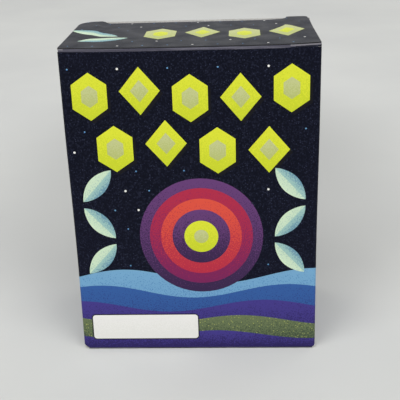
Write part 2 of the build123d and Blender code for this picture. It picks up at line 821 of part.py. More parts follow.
def make_screw(height, place, direction, shaft_radius, shaft_length, head_radius, head_height):
    """Slotted screw across the unit: its head starts at a height and its shaft runs on the same way."""
    with BuildPart() as screw:
        with BuildSketch(unit_plane(height)):
            with Locations(place):
                Circle(head_radius)
        extrude(amount=direction * head_height)
        with BuildSketch(unit_plane(height + direction * head_height)):
            with Locations(place):
                Circle(shaft_radius)
        extrude(amount=direction * shaft_length)
        with BuildSketch(unit_plane(height)):
            with Locations(place):
                Rectangle(2 * head_radius + overrun, slot_width)
        extrude(amount=direction * slot_depth, mode=Mode.SUBTRACT)
    return screw


# House: a shell over the pit and the electronics bay, open below and at the mouth
with BuildPart() as house_cover:
    with BuildSketch(unit_plane(lane_thickness)):
        with Locations((0, house_middle)):
            Rectangle(unit_width, house_length)
    extrude(amount=unit_height - lane_thickness)
    fillet(house_cover.edges().filter_by(Axis.Y).group_by(Axis.Z)[-1], unit_corner_radius)
    fillet(house_cover.faces().sort_by(Axis.Y)[0].edges(), house_edge_radius)
    with BuildSketch(unit_plane(lane_thickness - overrun)):
        with Locations((0, house_middle)):
            inner_length = house_length - 2 * unit_wall
            RectangleRounded(2 * inside_half_width, inner_length, unit_corner_radius - unit_wall)
    extrude(amount=roof_underside - lane_thickness + overrun, mode=Mode.SUBTRACT)
    with BuildSketch(cross_plane(deck_length + unit_wall)):
        with Locations((0, mouth_height)):
            mouth = mouth_height - lane_thickness + overrun
            Rectangle(2 * mouth_half_width, mouth, align=(Align.CENTER, Align.MAX))
        with Locations((0, lens_level)):
            Rectangle(2 * (lens_half_width + lens_gap), lens_height + 2 * lens_gap)
    extrude(amount=unit_wall + overrun, mode=Mode.SUBTRACT)
    # Bosses for the screws from below, and posts that the bay floor is screwed to
    with BuildSketch(unit_plane(lane_thickness)):
        with Locations(cover_screw_places):
            Circle(boss_radius)
            Circle(cover_screw_radius + thread_gap, mode=Mode.SUBTRACT)
    extrude(amount=boss_height)
    with BuildSketch(unit_plane(bay_floor_top)):
        with Locations(post_places):
            Circle(post_radius)
    extrude(amount=roof_underside - bay_floor_top)
    with BuildSketch(unit_plane(bay_floor_top)):
        with Locations(post_places):
            Circle(bay_screw_radius + thread_gap)
    extrude(amount=bay_screw_bite + screw_gap, mode=Mode.SUBTRACT)
    # Wall beside the batteries, with the boss of the door's screw
    with BuildSketch(unit_plane(bay_floor_top + bay_gap)):
        with Locations((partition_start, house_middle)):
            Rectangle(partition_thickness, inner_length, align=(Align.MIN, Align.CENTER))
    extrude(amount=roof_underside - bay_floor_top - bay_gap)
    with BuildSketch(unit_plane(roof_underside)):
        with Locations(door_screw_place):
            Circle(door_boss_radius)
    extrude(amount=-door_boss_height)
    with BuildSketch(unit_plane(unit_height)):
        with Locations((bay_opening_start, house_middle)):
            opening_length = partition_start - bay_opening_start
            Rectangle(opening_length, bay_opening_width, align=(Align.MIN, Align.CENTER))
    extrude(amount=-unit_wall, mode=Mode.SUBTRACT)
    with BuildSketch(unit_plane(unit_height)):
        with Locations((door_start - door_gap, house_middle)):
            recess_length = door_end - door_start + 2 * door_gap
            Rectangle(recess_length, door_width + 2 * door_gap, align=(Align.MIN, Align.CENTER))
    extrude(amount=-door_thickness, mode=Mode.SUBTRACT)
    with BuildSketch(unit_plane(unit_height)):
        with Locations(door_screw_place):
            Circle(bay_screw_radius + thread_gap)
    extrude(amount=-door_thickness - door_screw_length, mode=Mode.SUBTRACT)
    # Ring and grille of the speaker
    with BuildSketch(unit_plane(roof_underside)):
        with Locations(speaker_place):
            Circle(speaker_ring_radius)
            Circle(speaker_radius + speaker_ring_gap, mode=Mode.SUBTRACT)
    extrude(amount=-speaker_ring_height)
    with BuildSketch(unit_plane(unit_height)):
        for place, share in enumerate(grille_shares):
            slot_side = speaker_offset + (place - (len(grille_shares) - 1) / 2) * grille_pitch
            with Locations((slot_side, house_middle)):
                SlotOverall(share * grille_reach, grille_slot, rotation=90)
    extrude(amount=-unit_wall, mode=Mode.SUBTRACT)
    # Slot that the power switch's knob runs in
    with BuildSketch(side_plane(inside_half_width)):
        with Locations((house_middle, switch_height_level)):
            knob_run = knob_stem_length + knob_travel + 2 * knob_gap
            Rectangle(knob_run, knob_stem_height + 2 * knob_gap)
    extrude(amount=unit_wall, mode=Mode.SUBTRACT)
save_piece(house_cover, "house_cover")

for number, place in enumerate(cover_screw_places, start=1):
    shaft_length = lane_thickness + cover_screw_bite - cover_screw_head - screw_gap
    cover_screw = make_screw(
        screw_gap,
        place,
        1,
        cover_screw_radius,
        shaft_length,
        cover_screw_head_radius,
        cover_screw_head,
    )
    save_piece(cover_screw, f"cover_screw_{number}")

# Floor of the electronics bay, with the paddle's two ears, its stop and the circuit board's guides
ear_start = paddle_half_width + ear_gap
with BuildPart() as bay_floor:
    floor_half_width = inside_half_width - bay_gap
    with BuildSketch(unit_plane(mouth_height)):
        with Locations((0, house_middle)):
            Rectangle(2 * floor_half_width, inner_length - 2 * bay_gap)
        with Locations(cover_screw_places):
            Circle(boss_radius + bay_gap, mode=Mode.SUBTRACT)
    extrude(amount=bay_floor_thickness)
    for ear_side in (ear_start, -ear_start - ear_thickness):
        with BuildSketch(side_plane(ear_side)):
            with Locations((paddle_length, paddle_height)):
                Circle(ear_radius)
                Rectangle(2 * ear_radius, paddle_drop, align=(Align.CENTER, Align.MIN))
                Circle(axle_radius + thread_gap, mode=Mode.SUBTRACT)
        extrude(amount=ear_thickness)
    with BuildSketch(unit_plane(mouth_height)):
        with Locations((0, deck_length + stop_place)):
            Rectangle(2 * stop_half_width, stop_length, align=(Align.CENTER, Align.MIN))
    extrude(amount=-stop_drop)
    with BuildSketch(unit_plane(bay_floor_top)):
        guide_place = circuit_length + circuit_thickness / 2
        with Locations((-guide_offset, guide_place), (guide_offset, guide_place)):
            Rectangle(guide_width, guide_length)
            Rectangle(guide_width, circuit_thickness + 2 * guide_gap, mode=Mode.SUBTRACT)
    extrude(amount=guide_height)
    with BuildSketch(unit_plane(mouth_height)):
        with Locations(post_places):
            Circle(bay_screw_radius + screw_gap)
    extrude(amount=bay_floor_thickness, mode=Mode.SUBTRACT)
    with BuildSketch(unit_plane(mouth_height)):
        with Locations(post_places):
            Circle(bay_screw_head_radius + screw_gap)
    extrude(amount=bay_screw_head + screw_gap, mode=Mode.SUBTRACT)
save_piece(bay_floor, "bay_floor")

for name, place in zip(("bay_screw_left", "bay_screw_right"), post_places):
    shaft_length = bay_floor_thickness + bay_screw_bite - bay_screw_head - screw_gap
    bay_screw = make_screw(
        mouth_height + screw_gap,
        place,
        1,
        bay_screw_radius,
        shaft_length,
        bay_screw_head_radius,
        bay_screw_head,
    )
    save_piece(bay_screw, name)

# Paddle: a plate across the mouth that hangs from its barrel
with BuildPart() as trigger_paddle:
    with BuildSketch(side_plane(-paddle_half_width)):
        with Locations((paddle_length, paddle_height)):
            Circle(paddle_barrel)
            paddle_reach = paddle_height - lane_thickness - paddle_floor_gap
            Rectangle(paddle_thickness, paddle_reach, align=(Align.CENTER, Align.MAX))
            Circle(axle_radius + axle_gap, mode=Mode.SUBTRACT)
    extrude(amount=2 * paddle_half_width)
    fillet(trigger_paddle.edges().filter_by(Axis.Z).group_by(Axis.Y)[-1], paddle_corner_radius)
save_piece(trigger_paddle, "trigger_paddle")

with BuildPart() as paddle_axle:
    with BuildSketch(side_plane(-ear_start - ear_thickness)):
        with Locations((paddle_length, paddle_height)):
            Circle(axle_radius)
    extrude(amount=2 * (ear_start + ear_thickness))
save_piece(paddle_axle, "paddle_axle")

# Switch that the paddle presses at the end of its swing
with BuildPart() as trigger_switch:
    trigger_at = (trigger_offset, deck_length + trigger_place)
    with BuildSketch(unit_plane(mouth_height)):
        with Locations(trigger_at):
            Rectangle(trigger_width, trigger_length)
    extrude(amount=-trigger_drop)
    with BuildSketch(unit_plane(mouth_height - trigger_drop)):
        with Locations(trigger_at):
            Circle(trigger_button_radius)
    extrude(amount=-trigger_button_drop)
save_piece(trigger_switch, "trigger_switch")

# Battery cells in a row, between the two contacts
cell_place = (house_middle, cell_axis_height)
for number in range(cell_count):
    with BuildPart() as battery_cell:
        cell_side = cells_start + number * cell_height
        with BuildSketch(side_plane(cell_side)):
            with Locations(cell_place):
                Circle(cell_radius)
        extrude(amount=cell_height - cell_step)
        fillet(battery_cell.edges(), cell_edge)
        with BuildSketch(side_plane(cell_side + cell_height - cell_step)):
            with Locations(cell_place):
                Circle(cell_cap_radius)
        extrude(amount=cell_step)
    save_piece(battery_cell, f"battery_cell_{number + 1}")

contacts = (("battery_contact_left", -inside_half_width, 1), ("battery_contact_right", partition_start, -1))
for name, contact_side, direction in contacts:
    with BuildPart() as battery_contact:
        with BuildSketch(side_plane(contact_side)):
            with Locations(cell_place):
                Rectangle(contact_size, contact_size)
        extrude(amount=direction * contact_thickness)
        with BuildSketch(side_plane(contact_side + direction * contact_thickness)):
            with Locations(cell_place):
                Circle(contact_bump_radius)
        extrude(amount=direction * contact_bump)
        bump_face = battery_contact.faces().sort_by(Axis.X)[-1 if direction > 0 else 0]
        chamfer(bump_face.edges(), contact_bump / 2)
    save_piece(battery_contact, name)

# Battery door, let in flush with the top of the house and held by one screw
with BuildPart() as battery_door:
    with BuildSketch(unit_plane(unit_height)):
        with Locations((door_start, house_middle)):
            Rectangle(door_end - door_start, door_width, align=(Align.MIN, Align.CENTER))
    extrude(amount=-door_thickness)
    with BuildSketch(unit_plane(unit_height)):
        with Locations(door_screw_place):
            Circle(bay_screw_radius + screw_gap)
    extrude(amount=-door_thickness, mode=Mode.SUBTRACT)
    with BuildSketch(unit_plane(unit_height)):
        with Locations(door_screw_place):
            Circle(bay_screw_head_radius + screw_gap)
    extrude(amount=-door_screw_head - layer_gap, mode=Mode.SUBTRACT)
    with BuildSketch(unit_plane(unit_height)):
        grip_middle = (bay_opening_start + partition_start) / 2
        for place in range(door_grip_count):
            grip_side = grip_middle + (place - (door_grip_count - 1) / 2) * door_grip_pitch
            with Locations((grip_side, house_middle)):
                Rectangle(door_grip_width, door_grip_length)
    extrude(amount=-door_grip_depth, mode=Mode.SUBTRACT)
save_piece(battery_door, "battery_door")

door_screw = make_screw(
    unit_height - layer_gap,
    door_screw_place,
    -1,
    bay_screw_radius,
    door_screw_length,
    bay_screw_head_radius,
    door_screw_head,
)
save_piece(door_screw, "door_screw")

# Circuit board on edge in its guides, with the lights on its front and the sound chip behind
with BuildPart() as circuit_board:
    with BuildSketch(cross_plane(circuit_length + circuit_thickness)):
        with Locations((0, bay_floor_top)):
            Rectangle(2 * circuit_half_width, circuit_height, align=(Align.CENTER, Align.MIN))
    extrude(amount=circuit_thickness)
save_piece(circuit_board, "circuit_board")

for name, place in zip(("led_left", "led_middle", "led_right"), range(led_count)):
    with BuildPart() as led:
        led_place = ((place - (led_count - 1) / 2) * led_pitch, bay_floor_top + led_level)
        with BuildSketch(cross_plane(circuit_length)):
            with Locations(led_place):
                Circle(led_radius)
        extrude(amount=led_length)
        fillet(led.edges().group_by(Axis.Z)[0], led_radius - led_tip)
        with BuildSketch(cross_plane(circuit_length)):
            with Locations(led_place):
                Circle(led_flange_radius)
        extrude(amount=led_flange)
    save_piece(led, name)

with BuildPart() as sound_chip:
    with BuildSketch(cross_plane(circuit_length + circuit_thickness)):
        with Locations((0, bay_floor_top + led_level)):
            Circle(chip_radius)
    extrude(amount=-chip_height)
    fillet(sound_chip.edges().group_by(Axis.Z)[-1], chip_edge_share * chip_height)
save_piece(sound_chip, "sound_chip")

# Lens in the brow of the house, fluted, with a flange behind its window
with BuildPart() as brow_lens:
    with BuildSketch(cross_plane(deck_length + unit_wall)):
        with Locations((0, lens_level)):
            Rectangle(2 * lens_half_width, lens_height)
    extrude(amount=unit_wall)
    with BuildSketch(cross_plane(deck_length + unit_wall + lens_flange_thickness)):
        with Locations((0, lens_level)):
            Rectangle(2 * (lens_half_width + lens_flange), lens_height + 2 * lens_flange)
    extrude(amount=lens_flange_thickness)
    with BuildSketch(cross_plane(deck_length + lens_flute_depth)):
        for place in range(lens_flute_count):
            flute_side = (place - (lens_flute_count - 1) / 2) * lens_flute_pitch
            with Locations((flute_side, lens_level)):
                Rectangle(lens_flute_width, lens_height)
    extrude(amount=lens_flute_depth, mode=Mode.SUBTRACT)
save_piece(brow_lens, "brow_lens")

# Speaker under its grille
with BuildPart() as speaker:
    with BuildSketch(unit_plane(roof_underside)):
        with Locations(speaker_place):
            Circle(speaker_radius)
    extrude(amount=-speaker_frame)
    with BuildSketch(unit_plane(roof_underside - speaker_frame)):
        with Locations(speaker_place):
            Circle(speaker_magnet_radius)
    extrude(amount=-speaker_magnet)
    with BuildSketch(unit_plane(roof_underside)):
        with Locations(speaker_place):
            Circle(speaker_radius - speaker_rim)
    with BuildSketch(unit_plane(roof_underside - speaker_cone_depth)):
        with Locations(speaker_place):
            Circle(speaker_cone_radius)
    loft(mode=Mode.SUBTRACT)
save_piece(speaker, "speaker")

# Power switch against the side wall, and its knob in the slot
with BuildPart() as power_switch:
    with BuildSketch(side_plane(inside_half_width - switch_depth)):
        with Locations((house_middle, switch_height_level)):
            Rectangle(switch_length, switch_height)
    extrude(amount=switch_depth)
    with BuildSketch(side_plane(inside_half_width)):
        with Locations((house_middle, switch_height_level)):
            block_run = knob_block_length + knob_travel + 2 * knob_gap
            Rectangle(block_run, knob_block_height + 2 * knob_gap)
    extrude(amount=-knob_block_depth - 2 * knob_gap, mode=Mode.SUBTRACT)
save_piece(power_switch, "power_switch")

with BuildPart() as switch_knob:
    with BuildSketch(side_plane(inside_half_width - knob_gap)):
        with Locations((knob_length, switch_height_level)):
            Rectangle(knob_block_length, knob_block_height)
    extrude(amount=-knob_block_depth)
    with BuildSketch(side_plane(inside_half_width - knob_gap)):
        with Locations((knob_length, switch_height_level)):
            Rectangle(knob_stem_length, knob_stem_height)
    extrude(amount=unit_wall + knob_gap + knob_proud)
save_piece(switch_knob, "switch_knob")
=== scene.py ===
import math
from math import cos, pi, radians, sin

import bmesh
import bpy
from mathutils import Matrix, Vector
from mathutils.geometry import delaunay_2d_cdt


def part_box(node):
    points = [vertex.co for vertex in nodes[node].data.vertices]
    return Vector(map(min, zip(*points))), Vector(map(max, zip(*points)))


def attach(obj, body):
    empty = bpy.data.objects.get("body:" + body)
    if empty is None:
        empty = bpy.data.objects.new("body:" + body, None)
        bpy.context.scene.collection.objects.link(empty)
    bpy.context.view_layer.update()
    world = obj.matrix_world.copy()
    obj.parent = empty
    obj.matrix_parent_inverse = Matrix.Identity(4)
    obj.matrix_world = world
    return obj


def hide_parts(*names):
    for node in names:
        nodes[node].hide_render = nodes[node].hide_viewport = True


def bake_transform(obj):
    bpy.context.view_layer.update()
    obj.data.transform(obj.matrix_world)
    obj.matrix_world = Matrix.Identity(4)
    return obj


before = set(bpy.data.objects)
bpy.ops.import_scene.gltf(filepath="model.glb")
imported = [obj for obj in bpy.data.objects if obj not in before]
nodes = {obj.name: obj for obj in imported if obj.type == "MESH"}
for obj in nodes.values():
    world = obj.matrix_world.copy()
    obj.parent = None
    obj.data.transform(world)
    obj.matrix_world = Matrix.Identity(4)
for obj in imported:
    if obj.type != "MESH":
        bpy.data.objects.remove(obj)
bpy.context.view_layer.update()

# A printed tuck top carton with a tabletop bowling game in it. Lengths are in millimetres until a mesh is
# made, only the studio and the shot are in metres.
mm = 0.001

carton = {
    "halfWidth": 38.5,
    "halfDepth": 22.8,
    "height": 101.6,
    "board": 0.5,
    "folds": (0.8, 1.0, 0.6, 0.7, 0.7),  # outside radii: upright, top, bottom, dust flaps and glue flap
    "glueGap": 0.02,  # between the glue flap and the left wall
    "glueEase": 3.0,  # length of the back wall that closes up for the glue flap
    "glueOverlap": 0.75,  # how much further the left wall runs towards the back
    "backDrop": 0.6,  # how far the back wall and the dust folds stay below the lid's face
    "ground": "navy",
    "sag": 0.22,  # how far the middle of a panel lies in
    "sagUneven": 0.2,  # share of the sag that changes from place to place
    "sagRipple": (13.0, 19.0),
    "pinch": (0.3, 0.2),  # how far the left and right walls lie in, low down
    "pinchLevel": 37.0,
    "pinchReach": 44.0,
    "step": 3.0,  # spacing of the points inside a panel
    "merge": 0.012,  # points of the print nearer than this become one
    "printStep": 1.5,  # spacing of the points along the print's lines
    "clear": 0.5,  # no inner point lies this near to them
}
halfW, halfD, tall = carton["halfWidth"], carton["halfDepth"], carton["height"]
board = carton["board"]
foldRadius, topR, bottomR, dustR, flapRadius = carton["folds"]


def clamped(value):
    return min(1.0, max(0.0, value))


def eased(value):
    share = clamped(value)
    return share ** 2 * (3 - 2 * share)


def swelling(across, along):
    # 1 in the middle of a panel, 0 along its edges at -1 and 1
    return max(0.0, 1 - across ** 2) ** 2 * max(0.0, 1 - along ** 2) ** 2


# Finishes

def tint(*levels):
    # screen levels from 0 to 255 as the linear ones that a shader takes
    shares = [level / 255 for level in levels]
    return (*(s / 12.92 if s <= 0.04045 else ((s + 0.055) / 1.055) ** 2.4 for s in shares), 1.0)


class Nodes:
    # a node tree with short ways to lay nodes
    def __init__(self, tree):
        self.tree = tree

    def feed(self, socket, value):
        # a link from another socket, or a plain value
        if isinstance(value, bpy.types.NodeSocket):
            self.tree.links.new(value, socket)
        else:
            socket.default_value = value

    def add(self, kind, **inputs):
        # inputs go by their labels, or as i0, i1 and i2 by their order
        node = self.tree.nodes.new("ShaderNode" + kind)
        for label, value in inputs.items():
            key = int(label[1:]) if label[1:].isdigit() else label.replace("_", " ")
            self.feed(node.inputs[key], value)
        return node

    def math(self, operation, first, second=0.0):
        node = self.add("Math", i0=first, i1=second)
        node.operation = operation
        return node.outputs["Value"]


class Finish(Nodes):
    # one material
    def __init__(self, name, **sockets):
        self.material = bpy.data.materials.new(name)
        self.material.use_nodes = True
        super().__init__(self.material.node_tree)
        self.shader = self.tree.nodes["Principled BSDF"]
        for label, value in sockets.items():
            self.shader.inputs[label.replace("_", " ")].default_value = value
        self.place = self.add("TexCoord").outputs["Object"]

    def noise(self, scale, detail=2.0, roughness=0.5, stretch=None):
        place = self.place
        if stretch:
            place = self.add("Mapping", Vector=self.place, Scale=stretch).outputs["Vector"]
        node = self.add("TexNoise", Vector=place, Scale=scale, Detail=detail, Roughness=roughness)
        return node.outputs["Fac"]

    def fit(self, value, low, high, toLow=0.0, toHigh=1.0, smooth=False):
        node = self.add("MapRange", i0=value, i1=low, i2=high, i3=toLow, i4=toHigh)
        node.interpolation_type = "SMOOTHSTEP" if smooth else "LINEAR"
        return node.outputs["Result"]

    def axes(self):
        node = self.add("SeparateXYZ", Vector=self.place)
        return node.outputs["X"], node.outputs["Y"], node.outputs["Z"]

    def blend(self, share, first, second):
        node = self.add("Mix")
        node.data_type = "RGBA"
        for label, value in (("Factor_Float", share), ("A_Color", first), ("B_Color", second)):
            self.feed(next(s for s in node.inputs if s.identifier == label), value)
        return next(s for s in node.outputs if s.identifier == "Result_Color")

    def mottled(self, paints, marks=None, low=0.35, high=0.65):
        # two paints that run into each other by the marks, or else by broad soft ones
        marks = marks or self.noise(60.0, 3.0)
        return self.blend(self.fit(marks, low, high), *(tint(*paint) for paint in paints))

    def join(self, value, label):
        self.tree.links.new(value, self.shader.inputs[label])

    def paint(self, value):
        self.join(value, "Base Color")

    def rough(self, marks, roughness):
        self.join(self.fit(marks, 0.3, 0.7, *roughness), "Roughness")

    def relief(self, height, strength, distance):
        node = self.add("Bump", Strength=strength, Distance=distance * mm, Height=height)
        self.join(node.outputs["Normal"], "Normal")


printLook = {
    "gloss": 0.115,  # specular level of the satin varnish
    "roughness": (0.34, 0.46),
    "roughScale": 160.0,
    "grain": 2600.0,  # scale of the stipple
    "dotShare": 0.6,  # share of the shading that is laid as dots, the rest is even
    "dotEdge": 0.06,
    "speckScale": 1500.0,
    "speckRadius": 0.24,
    "mottleScale": 1700.0,
    "wearScale": 900.0,
    "worn": (150, 148, 158),
    "fibreScale": 900.0,
    "fibreDepth": 0.05,
}


def printedInk(name, light, dark, specks=None, speckShare=0.0, mottle=0.0, wear=0.0,
               grain=printLook["grain"]):
    # offset print under a satin varnish: two tones laid as a stipple, by the shade value of the mesh
    look = printLook
    ink = Finish(name, Specular_IOR_Level=look["gloss"])
    shadeNode = ink.add("Attribute")
    shadeNode.attribute_name = "shade"
    shade = shadeNode.outputs["Fac"]
    dots = ink.fit(ink.noise(grain, 1.0), 0.32, 0.68)
    stipple = ink.fit(ink.math("SUBTRACT", shade, dots), -look["dotEdge"], look["dotEdge"])
    dotted = ink.math("MULTIPLY", stipple, look["dotShare"])
    even = ink.math("MULTIPLY", shade, 1 - look["dotShare"])
    paint = ink.blend(ink.math("ADD", dotted, even), tint(*light), tint(*dark))
    if mottle:
        patches = ink.fit(ink.noise(look["mottleScale"], 3.0, 0.7), 0.5, 0.66, 0.0, mottle)
        paint = ink.blend(patches, paint, tint(*specks))
    if specks:
        cell = ink.add("TexVoronoi", Vector=ink.place, Scale=look["speckScale"])
        spot = ink.math("LESS_THAN", cell.outputs["Distance"], look["speckRadius"])
        draw = ink.add("SeparateColor", Color=cell.outputs["Color"]).outputs["Red"]
        chosen = ink.math("LESS_THAN", draw, speckShare)
        paint = ink.blend(ink.math("MULTIPLY", spot, chosen), paint, tint(*specks))
    if wear:
        rub = ink.fit(ink.noise(look["wearScale"], 3.0, 0.6, (0.06, 1.0, 1.0)), 0.5, 0.72, 0.0, wear)
        paint = ink.blend(rub, paint, tint(*look["worn"]))
    ink.paint(paint)
    ink.rough(ink.noise(look["roughScale"], 3.0), look["roughness"])
    ink.relief(ink.noise(look["fibreScale"], 3.0, 0.6, (1.0, 1.0, 0.45)), 0.1, look["fibreDepth"])
    return ink.material


boardLook = {
    "fibreScale": 1500.0,
    "fibreStretch": (1.0, 1.0, 0.35),
    "fibreDepth": 0.06,
    "fleckScale": 2600.0,
    "fleckShare": 0.35,
    "fleck": (128, 120, 108),
    "roughness": (0.78, 0.92),
}


def rawBoard(name, paints, strength=0.25):
    # uncoated board: short fibres, flecks and a soft tooth
    look = boardLook
    sheet = Finish(name, Specular_IOR_Level=0.2)
    fibre = sheet.noise(look["fibreScale"], 4.0, 0.7, look["fibreStretch"])
    fleck = sheet.fit(sheet.noise(look["fleckScale"], 2.0), 0.66, 0.74, 0.0, look["fleckShare"])
    sheet.paint(sheet.blend(fleck, sheet.mottled(paints, fibre), tint(*look["fleck"])))
    sheet.rough(fibre, look["roughness"])
    sheet.relief(fibre, strength, look["fibreDepth"])
    return sheet.material


inkPaints = {  # the light and the dark end of each ink
    # Navy's second end is the lighter one; low on the walls it is a painted reflection of the lit floor
    "Navy": ((1, 4, 22), (8, 11, 32)),
    "Lime": ((222, 227, 57), (201, 212, 46)),
    "PaleLime": ((197, 202, 143), (183, 191, 117)),
    "Mint": ((208, 229, 199), (159, 193, 183)),
    "MintShade": ((160, 197, 189), (99, 143, 168)),
    "White": ((238, 237, 233), (231, 230, 225)),
    "Red": ((222, 84, 65), (181, 46, 69)),
    "Crimson": ((178, 46, 73), (120, 36, 88)),
    "Purple": ((103, 63, 117), (55, 36, 73)),
    "Sky": ((118, 168, 204), (63, 113, 174)),
    "Blue": ((53, 94, 159), (42, 57, 120)),
    "Violet": ((69, 59, 136), (42, 34, 88)),
    "Olive": ((107, 120, 84), (59, 74, 59)),
    "Key": ((16, 16, 20), (20, 20, 26)),
    "Fold": ((64, 63, 75), (24, 24, 40)),
    "Rubbed": ((112, 110, 116), (70, 68, 80)),
}
inkMarks = {
    "Navy": {"specks": (46, 50, 72), "speckShare": 0.35, "mottle": 0.42},
    "Olive": {"specks": (168, 174, 99), "speckShare": 0.5},
    "Fold": {"wear": 0.3},
    "Rubbed": {"wear": 0.6},
}
inks = {ink[0].lower() + ink[1:]: printedInk("print" + ink, *paints, **inkMarks.get(ink, {}))
        for ink, paints in inkPaints.items()}
inkOrder = list(inks)
cutEdge = rawBoard("boardCutEdge", ((178, 176, 172), (138, 135, 130)), 0.5)
boardInside = rawBoard("boardInside", ((226, 225, 220), (212, 210, 204)))
print("finishes of the print laid:", len(inks))


# Meshes from printed sheets

def placed(name, data):
    thing = bpy.data.objects.new(name, data)
    bpy.context.scene.collection.objects.link(thing)
    return thing


class FaceList:
    # the faces of a piece while it is made, with the finish and the shades of each
    def __init__(self):
        self.corners, self.slots, self.smooth, self.shades = [], [], [], []

    def add(self, corners, slot, smooth=True, shades=None):
        self.corners.append(corners)
        self.slots.append(slot)
        self.smooth.append(smooth)
        self.shades += shades or [0.0] * len(corners)


def makeObject(name, points, faces, finishes, turnOut=False):
    mesh = bpy.data.meshes.new(name)
    mesh.from_pydata([Vector(p) * mm for p in points], [], faces.corners)
    for finish in finishes:
        mesh.materials.append(finish)
    mesh.polygons.foreach_set("material_index", faces.slots)
    mesh.polygons.foreach_set("use_smooth", faces.smooth)
    mesh.attributes.new("shade", "FLOAT", "CORNER").data.foreach_set("value", faces.shades)
    work = bmesh.new()
    work.from_mesh(mesh)
    for edge in work.edges:  # the borders of the flat faces stay crisp
        edge.smooth = all(face.smooth for face in edge.link_faces)
    if turnOut:
        bmesh.ops.recalc_face_normals(work, faces=work.faces)
    work.to_mesh(mesh)
    work.free()
    piece = placed(name, mesh)
    return piece


def shape(ink, points, light=None, dark=None):
    # one printed shape with the two ends of its shading
    heights = [p[1] for p in points]
    middle = sum(p[0] for p in points) / len(points)
    return {
        "ink": ink,
        "points": points,
        "light": light or (middle, max(heights)),
        "dark": dark or (middle, min(heights)),
    }


def divided(outline, step):
    # the same outline with a point at every step
    points = []
    for (x0, y0), (x1, y1) in zip(outline, outline[1:] + outline[:1]):
        count = max(1, round(math.hypot(x1 - x0, y1 - y0) / step))
        points += [(x0 + (x1 - x0) * k / count, y0 + (y1 - y0) * k / count) for k in range(count)]
    return points


def squareOf(x, y):
    return (math.floor(x / carton["clear"]), math.floor(y / carton["clear"]))


def innerPoints(outline, taken):
    # a grid over the sheet, without the points that lie beside a line of the print
    left, low = (min(p[k] for p in outline) for k in (0, 1))
    right, high = (max(p[k] for p in outline) for k in (0, 1))
    across = max(1, round((right - left) / carton["step"]))
    along = max(1, round((high - low) / carton["step"]))
    points = []
    for column in range(1, across):
        for row in range(1, along):
            x = left + (right - left) * column / across
            y = low + (high - low) * row / along
            squareX, squareY = squareOf(x, y)
            if taken.isdisjoint((squareX + i, squareY + j) for i in (-1, 0, 1) for j in (-1, 0, 1)):
                points.append(Vector((x, y)))
    return points


def cutFlat(layers, lines):
    # triangles in the flat, each with the number of the topmost layer that it lies in
    corners, rings, edges, taken = [], [], [], set()
    for layer in layers:
        contour = divided(layer["points"], carton["printStep"])
        rings.append(list(range(len(corners), len(corners) + len(contour))))
        corners += [Vector(p) for p in contour]
        taken.update(squareOf(*p) for p in divided(contour, carton["clear"] / 2))
    for start, end in lines:  # fold lines, as pairs of ends
        count = max(1, round(math.dist(start, end) / carton["step"]))
        first = len(corners)
        corners += [Vector(start).lerp(Vector(end), k / count) for k in range(count + 1)]
        edges += [(first + k, first + k + 1) for k in range(count)]
    corners += innerPoints(layers[0]["points"], taken)
    flat, _, triangles, _, _, sources = delaunay_2d_cdt(corners, edges, rings, 1, carton["merge"])
    return flat, [(face, max(ids)) for face, ids in zip(triangles, sources) if 0 in ids]


def printedSheet(name, outline, art, place, ends=(), lines=()):
    # the outline and the art are cut into triangles in the flat, and place(x, y, depth) folds them up
    layers = [shape(carton["ground"], divided(outline, carton["step"]), *ends)] + art
    flat, kept = cutFlat(layers, lines)
    used = sorted({index for face, _ in kept for index in face})
    order = {old: new for new, old in enumerate(used)}
    count = len(used)
    points = [place(flat[i][0], flat[i][1], depth) for depth in (0.0, board) for i in used]
    names = sorted({layer["ink"] for layer in layers}, key=inkOrder.index)
    edgeSlot, insideSlot = len(names), len(names) + 1
    faces, sides = FaceList(), {}
    for corners, top in kept:
        layer = layers[top]
        first, second, third = (flat[i] for i in corners)
        if (second - first).cross(third - first) < 0:
            corners = corners[::-1]
        light = Vector(layer["light"])
        run = Vector(layer["dark"]) - light
        length = max(run.length_squared, 1e-9)
        outer = [order[i] for i in corners]
        faces.add(outer, names.index(layer["ink"]),
                  shades=[clamped((flat[i] - light).dot(run) / length) for i in corners])
        sides.update(dict.fromkeys(zip(outer, outer[1:] + outer[:1])))
    for face in list(faces.corners):
        faces.add([i + count for i in reversed(face)], insideSlot)
    for i, j in sides:
        if (j, i) not in sides:
            faces.add([i, i + count, j + count, j], edgeSlot, smooth=False)
    return makeObject(name, points, faces, [inks[ink] for ink in names] + [cutEdge, boardInside])


def foldStrip(name, profiles, spot, start, end, inkAt=None, step=carton["step"]):
    # a creased strip: profiles of the outer and the inner face, run along the fold; inkAt tells
    # the ink of the outer face by the place along the fold and the strip across it
    outer, inner = profiles
    steps = max(2, round((end - start) / step))
    count, ring = len(outer), 2 * len(outer)
    foldInks = ["fold", "key", "navy", "rubbed"] if inkAt else ["fold"]
    insideSlot = len(foldInks)
    # on the printed crease the end caps take the key ink: painted shade on the cut board at its ends
    endSlot = foldInks.index("key") if inkAt else insideSlot
    points = []
    for k in range(steps + 1):
        along = start + (end - start) * k / steps
        points += [spot(along, *p) for p in outer] + [spot(along, *p) for p in inner]
    faces = FaceList()
    for k in range(steps):
        near, far = k * ring, (k + 1) * ring
        along = start + (end - start) * (k + 0.5) / steps
        for i in range(count - 1):
            ink = foldInks.index(inkAt(along, i)) if inkAt else 0
            faces.add([near + i, far + i, far + i + 1, near + i + 1], ink)
            i += count
            faces.add([near + i, near + i + 1, far + i + 1, far + i], insideSlot)
        faces.add([near, near + count, far + count, far], insideSlot, smooth=False)
        faces.add([near + count - 1, far + count - 1, far + ring - 1, near + ring - 1], insideSlot,
                  smooth=False)
    for base, flip in ((0, False), (steps * ring, True)):
        for i in range(count - 1):
            corners = [base + i, base + i + 1, base + count + i + 1, base + count + i]
            faces.add(corners[::-1] if flip else corners, endSlot, smooth=False)
    return makeObject(name, points, faces, [inks[ink] for ink in foldInks] + [boardInside], turnOut=True)


